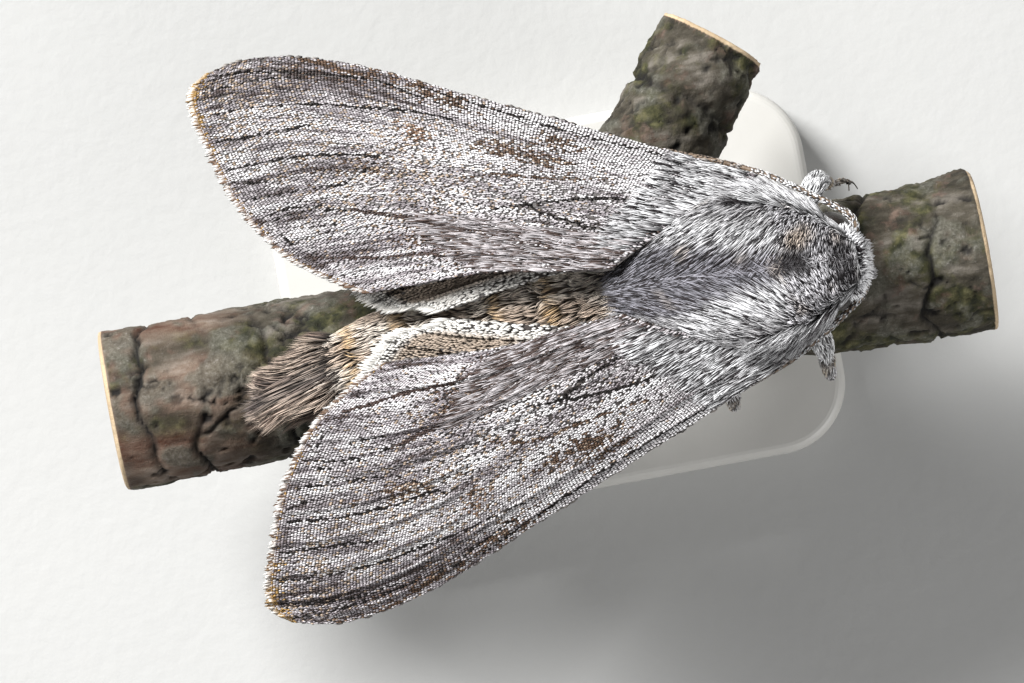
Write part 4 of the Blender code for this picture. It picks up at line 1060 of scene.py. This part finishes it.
for name, sweep, count in (("abdomen_fur_top", (-1.6, 1.6), 4400),
                           ("abdomen_fur_below", (1.6, 2 * math.pi - 1.6), 1500)):
    x, angle = spread(abdomen_surface, (-8.2, 2.6), sweep, count)
    long = (0.62 + 0.35 * smooth(-x, 5.5, 8.0)) * draw.uniform(0.7, 1.2, len(x))
    rise = laid(len(x), (-SHORT_DEPTH - 0.03, -0.06, -0.01, 0.02), 0.08)
    line, up = comb(abdomen_surface, x, angle, long, math.pi + draw.normal(0, 0.16, len(x)), rise)
    line = gather(line, 16, 0.5)
    middle = line[:, 2]
    tone = pick(smooth(grain_at(middle * np.array([0.6, 1, 1]), 0.8, 51.0), -0.4, 0.7), CREAM_HAIR, FAWN_HAIR)
    ring = sum(hump(middle[:, 0], place, 0.22) for place in BANDS)
    tone = pick(np.clip(ring, 0, 1) * 0.7, tone, OCHRE) * vary(len(x), 0.35)
    hair(name, line, up, (0.04, 0.065), 0.02, 0.12, tone, round_places(angle, x + 11, REAR_REACH),
         ("abdomen",), "tail_fur")

# the tail's hair spreads to both sides, and part of it fills the inside of the fan
TAIL_STATIONS = 5
x, angle = spread(abdomen_surface, (-9.9, -7.4), (0.0, 2 * math.pi), 2800)
long = draw.uniform(1.1, 2.5, len(x)) * (1 - 0.35 * smooth(-x, 9.0, 9.9)) * (1 - 0.3 * np.sin(angle) ** 2)
splay = 0.42 * np.abs(np.sin(angle)) + 0.08
rise = np.array([-0.22, 0.0, 0.08, 0.14, 0.2])[None, :] * (0.4 + splay * 2.4)[:, None]
inside = draw.uniform(0, 1, len(x))[:, None] ** 1.4
rise = rise - inside * np.array([0.0, 0.12, 0.3, 0.5, 0.7])[None, :]
line, up = comb(abdomen_surface, x, angle, long, math.pi + draw.normal(0, 0.1, len(x)), rise)
fan = np.linspace(0, 1, TAIL_STATIONS)[None, :]
line[:, :, 1] += 0.32 * np.sin(angle)[:, None] * fan ** 1.5 * long[:, None]
line = gather(line, 46, 0.5, 1.6)
line = gather(line, 8, 0.3)
middle = line[:, 2]
off = middle[:, 1] - read(SPINE, middle[:, 0])[0]
tone = pick(smooth(grain_at(middle, 0.5, 52.0), -0.5, 0.6), TAIL_BROWN, TAIL_DARK)
tone = pick(hump(off, 0.0, 0.35) * 0.6, tone, TAIL_MIDDLE)
tone = some(0.3, tone * 0.2, tone)
tone = tone * vary(len(x), 0.35)
coat("tail_fan", line, up, draw.uniform(0.034, 0.055, len(x)), 0.018,
     fade(tone * 0.12, np.minimum(tone * 1.3, 0.9), TAIL_STATIONS), round_places(angle, x + 11, REAR_REACH),
     "tail_fur", ("tail_tuft",), fur_finish, (0.6, 1.0, 0.95, 0.65))

# Wings. Each is a thin curved membrane stiffened by raised veins, scaled above and below in rows.
# The hindwings are folded away under the forewings, and show only beside the abdomen.
WING_HEIGHT, WING_SLOPE_BACK, WING_SLOPE_OUT, WING_CAMBER = 18.15, 0.055, 0.33, 0.03
WING_AXIS = ((6.0, 2.6), (-10.8, 6.5))
VEIN_HEIGHT, VEIN_HALF = 0.1, 0.009
HIND_DROP = 0.92
SCALE_DEPTH = 0.05
MEMBRANE = 0.16
# Outlines seen from above in x and y, veins as v and the u at which they start, the turn in degrees
FORE = {"costa": ((7.2, 3.1), (3.2, 4.95), (-1.7, 7.2), (-5.6, 8.95), (-8.6, 9.65), (-10.4, 9.4)),
        "margin": ((-10.4, 9.4), (-11.0, 8.6), (-10.65, 6.9), (-9.9, 4.8), (-8.4, 2.75), (-6.1, 1.25)),
        "inner": ((2.0, 0.8), (0.3, 0.95), (-2.3, 1.3), (-6.1, 1.25)),
        "root": ((7.2, 3.1), (5.6, 2.2), (3.6, 1.6), (2.0, 0.8)),
        "veins": ((0.09, 0.0), (0.2, 0.0), (0.31, 0.5), (0.42, 0.5), (0.52, 0.5), (0.62, 0.0), (0.73, 0.35),
                  (0.88, 0.0)),
        "turn": {"left": 1.6, "right": -2.2}, "drop": 0.0}
HIND = {"costa": ((3.9, 2.2), (0.5, 4.0), (-3.6, 5.6), (-6.6, 6.0)),
        "margin": ((-6.6, 6.0), (-7.7, 4.8), (-7.3, 2.6), (-6.3, 1.1), (-5.4, 0.4), (-4.4, 0.35),
                   (-3.8, 0.1)),
        "inner": ((1.7, 0.9), (0.2, 0.9), (-1.6, 0.55), (-3.8, 0.1)),
        "root": ((3.9, 2.2), (2.8, 1.6), (1.7, 0.9)),
        "veins": ((0.12, 0.0), (0.3, 0.35), (0.45, 0.35), (0.6, 0.35), (0.78, 0.0)),
        "turn": {"left": 4.0, "right": -3.0}, "drop": HIND_DROP}


def wing_surface(wing, word, below=False):
    """Place on a wing for u from root to margin, v from front to inner edge, and a height over its face."""
    costa, margin, inner, root = (np.array(wing[key]) for key in ("costa", "margin", "inner", "root"))
    side = 1 if word == "left" else -1
    turn = math.radians(-wing["turn"][word])
    (ax, ay), (bx, by) = WING_AXIS
    length = math.hypot(bx - ax, by - ay)

    def surface(u, v, rise):
        u, v = np.broadcast_arrays(np.asarray(u, float), np.asarray(v, float))
        flat_u, flat_v = u[..., None], v[..., None]
        corners = (costa[0] * (1 - flat_u) + costa[-1] * flat_u) * (1 - flat_v)
        corners = corners + (inner[0] * (1 - flat_u) + inner[-1] * flat_u) * flat_v
        plan = (on_curve(costa, u) * (1 - flat_v) + on_curve(inner, u) * flat_v
                + on_curve(root, v) * (1 - flat_u) + on_curve(margin, v) * flat_u - corners)
        off = plan - root[1]
        x = root[1][0] + off[..., 0] * math.cos(turn) - off[..., 1] * math.sin(turn)
        y = root[1][1] + off[..., 0] * math.sin(turn) + off[..., 1] * math.cos(turn)
        bow = (x - ax) * (by - ay) / length - (y - ay) * (bx - ax) / length
        z = WING_HEIGHT + WING_SLOPE_BACK * x - WING_SLOPE_OUT * y - WING_CAMBER * bow * bow - wing["drop"]
        for place, start in wing["veins"]:
            z = z + VEIN_HEIGHT * hump(v, place, VEIN_HALF) * smooth(u, start, start + 0.08)
        z = z - SCALE_DEPTH - (MEMBRANE if below else 0.0) + (-rise if below else rise)
        return np.stack([x, y * side, z], axis=-1)
    return surface


def membrane(name, wing, word, steps, lines, slot, node, finish):
    """The bare wing under the scales."""
    top, under = wing_surface(wing, word), wing_surface(wing, word, True)
    us, vs = np.linspace(0, 1, steps + 1)[:, None], np.linspace(0, 1, lines + 1)[None, :]
    upper_spots, lower_spots = top(us, vs, 0.0), under(us, vs, 0.0)
    bm = bmesh.new()
    bmesh.ops.create_grid(bm, x_segments=steps, y_segments=lines, size=0.5)
    copied = bmesh.ops.extrude_face_region(bm, geom=bm.faces)
    upper = {item for item in copied["geom"] if isinstance(item, bmesh.types.BMVert)}
    for vert in bm.verts:
        i, j = round((vert.co.x + 0.5) * steps), round((vert.co.y + 0.5) * lines)
        vert.co = Vector(upper_spots[i, j] if vert in upper else lower_spots[i, j])
    bmesh.ops.recalc_face_normals(bm, faces=bm.faces)
    return finish_mesh(bm, name, finish, slot, node)


def scale_rows(surface, pitch, spacing):
    """Roots of scales in rows across a wing, evenly spaced, and thinned where the rows draw together."""
    probe = np.linspace(0, 1, 60)
    us, vs = [], []
    u = 0.0
    while u < 1.0:
        steps = np.linalg.norm(np.diff(surface(np.full(60, u), probe, 0.0), axis=0), axis=1)
        run = np.concatenate([[0.0], np.cumsum(steps)])
        along, _ = stretch(surface, np.full(60, u), probe)
        widest = np.percentile(along, 90)
        count = max(int(run[-1] / spacing), 3)
        v = np.interp((np.arange(count) + draw.uniform(0, 1)) / count * run[-1], run, probe)
        kept = draw.uniform(0, 1, count) < np.interp(v, probe, along) / widest
        vs.append(v[kept])
        us.append(np.full(kept.sum(), u))
        u += pitch / widest
    return np.concatenate(us), np.concatenate(vs)


def stroke(spots, surface, points, width, soft=0.06):
    """How far each spot lies in a streak drawn through points of u and v, pointed at both ends."""
    path = on_curve(points, np.linspace(0, 1, 8 * len(points)))
    marks = surface(path[:, 0], path[:, 1], 0.0)[:, :2]
    best = np.zeros(len(spots))
    for k, (one, other) in enumerate(zip(marks, marks[1:])):
        way = other - one
        t = np.clip(((spots - one) @ way) / (way @ way), 0, 1)
        gap = np.linalg.norm(spots - one - t[:, None] * way, axis=1)
        half = width / 2 * np.sqrt(np.clip(np.sin(math.pi * (k + t + 0.5) / len(marks)), 0, 1))
        best = np.maximum(best, 1 - np.clip((gap - half + soft / 2) / soft, 0, 1))
    return best


def blot(spots, surface, centre, radii):
    """A soft round patch about a place of u and v, its radii in u and v."""
    u, v = centre
    middle = surface(np.array([u]), np.array([v]), 0.0)[0, :2]
    along = surface(np.array([u + radii[0]]), np.array([v]), 0.0)[0, :2] - middle
    across = surface(np.array([u]), np.array([v + radii[1]]), 0.0)[0, :2] - middle
    grid = np.stack([along, across], axis=1)
    local = np.linalg.solve(grid, (spots - middle).T).T
    return np.exp(-(local ** 2).sum(axis=1))


WHITE_SCALE, PALE_SCALE = np.array((0.90, 0.88, 0.885)), np.array((0.58, 0.545, 0.555))
LILAC_SCALE, UMBER_SCALE = np.array((0.28, 0.25, 0.265)), np.array((0.075, 0.055, 0.05))
BROWN_SCALE, DARK_SCALE = np.array((0.12, 0.075, 0.05)), np.array((0.014, 0.011, 0.010))
OCHRE_SCALE, REDDISH_SCALE = np.array((0.44, 0.27, 0.09)), np.array((0.085, 0.058, 0.05))
WARM_SCALE = np.array((0.40, 0.31, 0.235))
UNDER_GREY, UNDER_BUFF = np.array((0.28, 0.26, 0.25)), np.array((0.46, 0.42, 0.38))
HIND_WHITE, HIND_BROWN = np.array((0.88, 0.85, 0.80)), np.array((0.42, 0.34, 0.27))
HIND_UNDER = np.array((0.66, 0.63, 0.58))
# Streaks of the forewing: colour, strength, width in millimetres, then points of u and v
DASHES = (
    (DARK_SCALE, 1.25, 0.08, ((0.035, 0.27), (0.07, 0.34), (0.12, 0.40), (0.20, 0.46), (0.27, 0.53),
                              (0.32, 0.58), (0.40, 0.64))),
    (BROWN_SCALE, 1.00, 0.08, ((0.19, 0.31), (0.30, 0.41), (0.38, 0.45), (0.50, 0.58))),
    (DARK_SCALE, 0.88, 0.06, ((0.09, 0.055), (0.25, 0.085), (0.40, 0.07), (0.50, 0.045))),
    (DARK_SCALE, 0.94, 0.07, ((0.42, 0.13), (0.50, 0.12), (0.55, 0.09), (0.65, 0.115), (0.85, 0.105),
                              (0.98, 0.05))),
    (BROWN_SCALE, 1.00, 0.10, ((0.56, 0.09), (0.64, 0.05), (0.72, 0.0))),
    (DARK_SCALE, 0.75, 0.06, ((0.65, 0.15), (0.75, 0.15), (0.85, 0.17), (1.0, 0.185))),
    (DARK_SCALE, 1.06, 0.07, ((0.42, 0.19), (0.52, 0.23), (0.60, 0.26), (0.68, 0.27), (0.76, 0.28))),
    (DARK_SCALE, 0.69, 0.06, ((0.74, 0.28), (0.86, 0.285), (0.97, 0.29))),
    (DARK_SCALE, 1.19, 0.07, ((0.72, 0.36), (0.80, 0.385), (0.88, 0.39), (0.97, 0.385))),
    (DARK_SCALE, 1.19, 0.06, ((0.57, 0.43), (0.60, 0.47), (0.68, 0.475), (0.80, 0.48), (0.93, 0.485),
                              (0.98, 0.48))),
    (DARK_SCALE, 0.75, 0.06, ((0.62, 0.50), (0.70, 0.57), (0.78, 0.59), (0.90, 0.59), (0.97, 0.585))),
    (DARK_SCALE, 1.12, 0.06, ((0.88, 0.545), (0.93, 0.535), (0.97, 0.525))),
    (REDDISH_SCALE, 1.19, 0.14, ((0.56, 0.74), (0.60, 0.73), (0.68, 0.705), (0.75, 0.675))),
    (DARK_SCALE, 0.88, 0.06, ((0.75, 0.675), (0.85, 0.66), (0.97, 0.67))),
    (DARK_SCALE, 0.88, 0.06, ((0.80, 0.65), (0.88, 0.64), (0.93, 0.65))),
    (DARK_SCALE, 0.88, 0.06, ((0.78, 0.72), (0.83, 0.715), (0.88, 0.71))),
    (REDDISH_SCALE, 1.12, 0.10, ((0.66, 0.90), (0.70, 0.87), (0.80, 0.86), (0.88, 0.83), (0.94, 0.81))),
    (DARK_SCALE, 0.88, 0.06, ((0.94, 0.70), (0.945, 0.73), (0.95, 0.76))),
    (DARK_SCALE, 0.94, 0.11, ((0.10, 0.64), (0.17, 0.67), (0.25, 0.64), (0.30, 0.61), (0.33, 0.57))),
    (REDDISH_SCALE, 1.00, 0.14, ((0.02, 0.62), (0.08, 0.68), (0.16, 0.72))),
    (REDDISH_SCALE, 0.94, 0.18, ((0.17, 0.92), (0.23, 0.88), (0.30, 0.84), (0.36, 0.83))),
    (REDDISH_SCALE, 0.88, 0.12, ((0.25, 0.95), (0.30, 0.925), (0.36, 0.90))),
    (BROWN_SCALE, 0.88, 0.08, ((0.50, 0.30), (0.515, 0.35), (0.51, 0.40))),
)
# Lighter areas of the forewing: strength, centre and radii in u and v
GLOWS = (
    (0.25, (0.46, 0.65), (0.10, 0.06)), (0.22, (0.40, 0.36), (0.07, 0.04)),
    (0.2, (0.62, 0.35), (0.09, 0.05)), (0.22, (0.53, 0.48), (0.10, 0.04)),
    (0.3, (0.86, 0.34), (0.08, 0.022)), (0.3, (0.93, 0.445), (0.06, 0.02)),
    (0.3, (0.90, 0.51), (0.07, 0.018)), (0.28, (0.88, 0.73), (0.08, 0.035)),
    (0.22, (0.90, 0.62), (0.08, 0.02)), (0.2, (0.15, 0.12), (0.08, 0.08)),
    (0.15, (0.33, 0.10), (0.06, 0.05)), (-0.16, (0.66, 0.80), (0.12, 0.07)),
    (-0.14, (0.70, 0.54), (0.10, 0.035)), (-0.1, (0.80, 0.15), (0.16, 0.07)),
    (-0.12, (0.2, 0.9), (0.16, 0.08)), (0.16, (0.80, 0.88), (0.12, 0.05)),
)
# Darker patches of the forewing: colour, strength, centre and radii in u and v
PATCHES = (
    (BROWN_SCALE, 0.85, (0.31, 0.28), (0.05, 0.05)),
    (BROWN_SCALE, 0.8, (0.28, 0.17), (0.03, 0.04)),
    (BROWN_SCALE, 0.7, (0.355, 0.31), (0.035, 0.03)),
    (BROWN_SCALE, 0.7, (0.45, 0.09), (0.05, 0.05)),
    (BROWN_SCALE, 0.5, (0.60, 0.80), (0.10, 0.08)),
    (BROWN_SCALE, 0.45, (0.68, 0.52), (0.09, 0.035)),
    (BROWN_SCALE * 2.2, 0.5, (0.50, 0.33), (0.03, 0.05)),
    (WARM_SCALE, 0.24, (0.85, 0.2), (0.2, 0.2)),
    (WARM_SCALE, 0.2, (0.6, 0.5), (0.3, 0.3)),
    (BROWN_SCALE * 1.4, 0.4, (0.55, 0.06), (0.18, 0.07)),
)


def fore_shades(surface, u, v, seed):
    """Colours of the forewing's scales, each of one of a few colours whose shares make the pattern."""
    count = len(u)
    spots = surface(u, v, 0.0)[:, :2]
    field = np.stack([u, v, np.full(count, seed)], axis=1)
    streak = grain_at(field * np.array([5.0, 42.0, 1.0]), 1.0, 61.0)
    fleck = grain_at(field * np.array([14.0, 95.0, 1.0]), 1.0, 62.0)
    cloud = grain_at(field * np.array([4.0, 6.0, 1.0]), 1.0, 63.0)
    mottle = grain_at(field * np.array([34.0, 24.0, 1.0]), 1.0, 64.0)
    front = (1 - smooth(v, 0.34, 0.5)) * smooth(u, 0.04, 0.12) * (1 - smooth(u, 0.42, 0.55))
    costal = (1 - smooth(v, 0.2, 0.3)) * smooth(u, 0.42, 0.55)
    outer = smooth(u, 0.72, 0.95)
    light = (0.49 + 0.20 * streak + 0.24 * fleck + 0.12 * cloud + 0.10 * mottle + 0.16 * front - 0.15 * costal
             - 0.06 * outer)
    for strength, centre, radii in GLOWS:
        light = light + strength * blot(spots, surface, centre, radii)
    light = light + 0.26 * (draw.uniform(0, 1, count) - 0.5)
    ladder = np.array([0.05, 0.28, 0.52, 0.78])
    steps = np.stack([UMBER_SCALE, LILAC_SCALE, PALE_SCALE, WHITE_SCALE])
    tone = np.stack([np.interp(light, ladder, steps[:, k]) for k in range(3)], axis=1)
    inner = smooth(v, 0.7, 0.85) * (1 - smooth(u, 0.6, 0.75)) * smooth(-fleck, -0.25, 0.25)
    marks = [(inner * 0.7, REDDISH_SCALE)]
    for colour, strength, centre, radii in PATCHES:
        ragged = np.clip(0.9 + 0.7 * mottle + 0.5 * fleck, 0, 1.8)
        marks.append((blot(spots, surface, centre, radii) * strength * ragged, colour))
    for colour, strength, width, points in DASHES:
        broken = np.clip(1.05 + 0.45 * fleck, 0.4, 1.3)
        marks.append((stroke(spots, surface, points, width) * strength * broken, colour))
    ochre = smooth(u, 0.93, 1.0) * (1 - smooth(v, 0.08, 0.5)) * 0.6 + smooth(u, 0.975, 1.0) * 0.35
    marks.append((ochre, OCHRE_SCALE * 0.8))
    for share, colour in marks:
        hit = draw.uniform(0, 1, count) < share
        tone = np.where(hit[:, None], colour * draw.uniform(0.7, 1.4, count)[:, None], tone)
    return tone


scale_finish = coat_finish("wing_scales_dust", 0.55, 0.0)
SCALE_SHARES = (0.0, 0.42, 1.0)
SCALE_PROFILE = (0.7, 1.0)


def wing_places(u, v):
    """Places on the bake map of scales at u and v."""
    return np.stack([0.01 + 0.97 * np.clip(u, 0, 1), 0.01 + 0.97 * np.clip(v, 0, 1)], axis=1)


def scale_layer(name, surface, u, v, long, wide, shades, slot, node, tilt=0.05, painted_root_shade=0.05):
    """Flat scales in rows, each lifted a little at its tip and painted dark towards its root as the shadow
    under the row over it.
    """
    lift = np.array(SCALE_SHARES)[None, :] * tilt + 0.004
    rise = lift + draw.uniform(0.0, 0.014, len(u))[:, None]
    line, up = comb(surface, u, v, long, draw.normal(0, 0.12, len(u)), rise, SCALE_SHARES)
    places = wing_places(u, v)
    # painted shade: each scale's colour falls to a small share of itself towards the root, for the shadow
    # between the rows
    tones = fade(shades * painted_root_shade, shades, len(SCALE_SHARES), 0.15, 0.75)
    coat(name, line, up, wide, 0.012, tones, places, slot, (node,), scale_finish, SCALE_PROFILE)


film = Finish("wing_membrane", Roughness=0.5)
film_browns = film.ramp(film.grain(film.place(), 0.4), (0.4, (0.03, 0.024, 0.022)),
                        (0.6, (0.055, 0.045, 0.04)))
film_finish = film.wear(film_browns, bump=film.grain(film.place(), 0.05), depth=0.01)
for word in ("left", "right"):
    fore_node, hind_node = f"forewing_{word}", f"hindwing_{word}"
    membrane(f"forewing_membrane_{word}", FORE, word, 130, 80, "wing_scales", fore_node, film_finish)
    membrane(f"hindwing_membrane_{word}", HIND, word, 80, 60, "hindwing_scales", hind_node, film_finish)
    surface = wing_surface(FORE, word)
    u, v = scale_rows(surface, 0.114, 0.061)
    wavy = 0.0015 * grain_at(np.stack([u * 7, v * 11, v], axis=1), 1.0, 65.0)
    u = np.clip(u + wavy + draw.normal(0, 0.0003, len(u)), 0, 1)
    v = np.clip(v + draw.normal(0, 0.0016, len(v)), 0, 1)
    # painted light: the right forewing's scales are painted a little brighter than the left's, for the
    # stronger light on that side
    seed, painted_side_light = {"left": (1.0, 1.0), "right": (2.0, 1.12)}[word]
    tones = fore_shades(surface, u, v, seed)
    tones = tones * draw.uniform(0.8, 1.2, len(u))[:, None] * painted_side_light
    scale_layer(f"forewing_scales_{word}", surface, u, v, draw.uniform(0.122, 0.142, len(u)),
                draw.uniform(0.062, 0.08, len(u)), tones, "wing_scales", fore_node)
    under = wing_surface(FORE, word, True)
    u, v = scale_rows(under, 0.30, 0.16)
    buff = smooth(grain_at(under(u, v, 0.0), 1.5, 71.0), -0.5, 0.8)
    tones = pick(buff, UNDER_GREY, UNDER_BUFF) * vary(len(u), 0.25)
    scale_layer(f"forewing_under_scales_{word}", under, u, v, draw.uniform(0.36, 0.46, len(u)),
                draw.uniform(0.16, 0.20, len(u)), tones, "wing_scales", fore_node, painted_root_shade=0.3)
    # long hair scales lie along the inner part of the forewing, from its root outwards
    u, v = spread(surface, (0.01, 0.62), (0.7, 0.995), 1500)
    rise = raised(len(u), (0.0, 0.05, 0.07, 0.06), 0.6, 1.2)
    line, up = comb(surface, u, v, draw.uniform(0.5, 0.9, len(u)), draw.normal(-0.05, 0.1, len(u)), rise)
    line = gather(line, 7, 0.4)
    pale = smooth(grain_at(line[:, 1], 0.3, 66.0) * 0.5 + draw.normal(0.05, 0.4, len(u)), -0.35, 0.35)
    tones = pick(pale, REDDISH_SCALE * 1.1, PALE_SCALE * 1.05) * draw.uniform(0.5, 1.15, len(u))[:, None]
    hair(f"forewing_hair_{word}", line, up, (0.03, 0.05), 0.014, 0.3, tones, wing_places(u, v),
         (fore_node,), "wing_scales", scale_finish)
    # pale hair of the wing's root spreads back over it from the thorax
    u, v = spread(surface, (0.0, 0.13), (0.0, 0.8), 1300)
    rise = raised(len(u), (0.0, 0.07, 0.09, 0.06), 0.5, 1.2)
    line, up = comb(surface, u, v, draw.uniform(0.5, 0.9, len(u)), draw.normal(0.0, 0.12, len(u)), rise)
    line = gather(line, 8, 0.2)
    tones = pick(smooth(grain_at(line[:, 1], 0.5, 67.0), -0.3, 0.6), WHITE_HAIR, PALE_HAIR * 0.8)
    tones = some(0.25, DARK_HAIR * 2, tones)
    tones = tones * draw.uniform(0.7, 1.15, len(u))[:, None]
    hair(f"wing_root_hair_{word}", line, up, (0.03, 0.045), 0.016, 0.08, tones, wing_places(u, v),
         (fore_node,), "wing_scales", scale_finish)
    hind = wing_surface(HIND, word)
    u, v = scale_rows(hind, 0.14, 0.08)
    v = np.clip(v + draw.normal(0, 0.003, len(v)), 0, 1)
    grey = smooth(u + 0.15 * grain_at(hind(u, v, 0.0), 1.0, 72.0), 0.3, 0.6) * (1 - smooth(u, 0.9, 0.95))
    grey = grey * (1 - smooth(v, 0.74, 0.9))
    tones = pick(grey, HIND_WHITE, HIND_BROWN) * vary(len(u), 0.3)
    scale_layer(f"hindwing_scales_{word}", hind, u, v, draw.uniform(0.17, 0.22, len(u)),
                draw.uniform(0.08, 0.11, len(u)), tones, "hindwing_scales", hind_node)
    hind_under = wing_surface(HIND, word, True)
    u, v = scale_rows(hind_under, 0.30, 0.16)
    tones = HIND_UNDER * vary(len(u), 0.2)
    scale_layer(f"hindwing_under_scales_{word}", hind_under, u, v, draw.uniform(0.32, 0.42, len(u)),
                draw.uniform(0.14, 0.18, len(u)), tones, "hindwing_scales", hind_node, painted_root_shade=0.3)

# Wing fringes. A double row of longer scales edges each wing: brown at the root and tipped with white
# clubs on the forewing, all white on the hindwing.
FRINGE_COUNT = 1100
CLUB_WHITE, FRINGE_WHITE = np.array((0.88, 0.87, 0.85)), np.array((0.72, 0.70, 0.66))
for word in ("left", "right"):
    surface = wing_surface(FORE, word)
    count = FRINGE_COUNT
    v = np.linspace(0.01, 0.999, count)
    u = np.full(count, 0.985) + draw.uniform(-0.01, 0.005, count)
    long = 0.36 * draw.uniform(0.7, 1.25, count) * (0.4 + 0.6 * smooth(v, 0.0, 0.12))
    share = np.linspace(0, 1, STATIONS)[None, :]
    rise = np.array([0.0, 0.0, -0.015, -0.03])[None, :] + draw.normal(0, 0.035, count)[:, None] * share
    inside = surface(np.minimum(u, 1.0), v, 0.0)
    ahead = unit(surface(np.full(count, 1.0), v, 0.0) - surface(np.full(count, 0.97), v, 0.0))
    line = inside[:, None, :] + ahead[:, None, :] * (share * long[:, None])[..., None]
    line[:, :, 2] += rise
    line = gather(line, 5, 0.5)
    up = np.broadcast_to(np.array([0.0, 0.0, 1.0]), line.shape)
    root = pick(smooth(v, 0.05, 0.45), OCHRE_SCALE * 0.6, BROWN_SCALE * 0.9)
    tip = pick((draw.uniform(0, 1, count) < 0.7) * 1.0, root * 1.3, CLUB_WHITE)
    tip = pick((1 - smooth(v, 0.02, 0.16)) * 0.6, tip, OCHRE_SCALE * 0.8)
    places = np.stack([np.full(count, 0.98), 0.01 + 0.97 * v], axis=1)
    coat(f"forewing_fringe_{word}", line, up, draw.uniform(0.05, 0.08, count), 0.02,
         fade(root, tip, STATIONS, 0.45, 0.9), places, "wing_scales", (f"forewing_{word}",), scale_finish,
         (0.6, 0.75, 1.2))
    hind = wing_surface(HIND, word)
    v = np.linspace(0.01, 0.999, count)
    ahead = unit(hind(np.full(count, 1.0), v, 0.0) - hind(np.full(count, 0.95), v, 0.0))
    inside = hind(0.985 + draw.uniform(-0.01, 0.005, count), v, 0.0)
    long = 0.55 * draw.uniform(0.6, 1.2, count)
    line = inside[:, None, :] + ahead[:, None, :] * (share * long[:, None])[..., None]
    line[:, :, 2] += draw.normal(0, 0.04, count)[:, None] * share
    line = gather(line, 12, 0.7)
    up = np.broadcast_to(np.array([0.0, 0.0, 1.0]), line.shape)
    tip = FRINGE_WHITE * vary(count, 0.12)
    coat(f"hindwing_fringe_{word}", line, up, draw.uniform(0.05, 0.08, count), 0.02,
         fade(tip * 0.3, tip, STATIONS, 0.1, 0.6), places, "hindwing_scales", (f"hindwing_{word}",),
         scale_finish, (0.6, 1.0, 0.9))
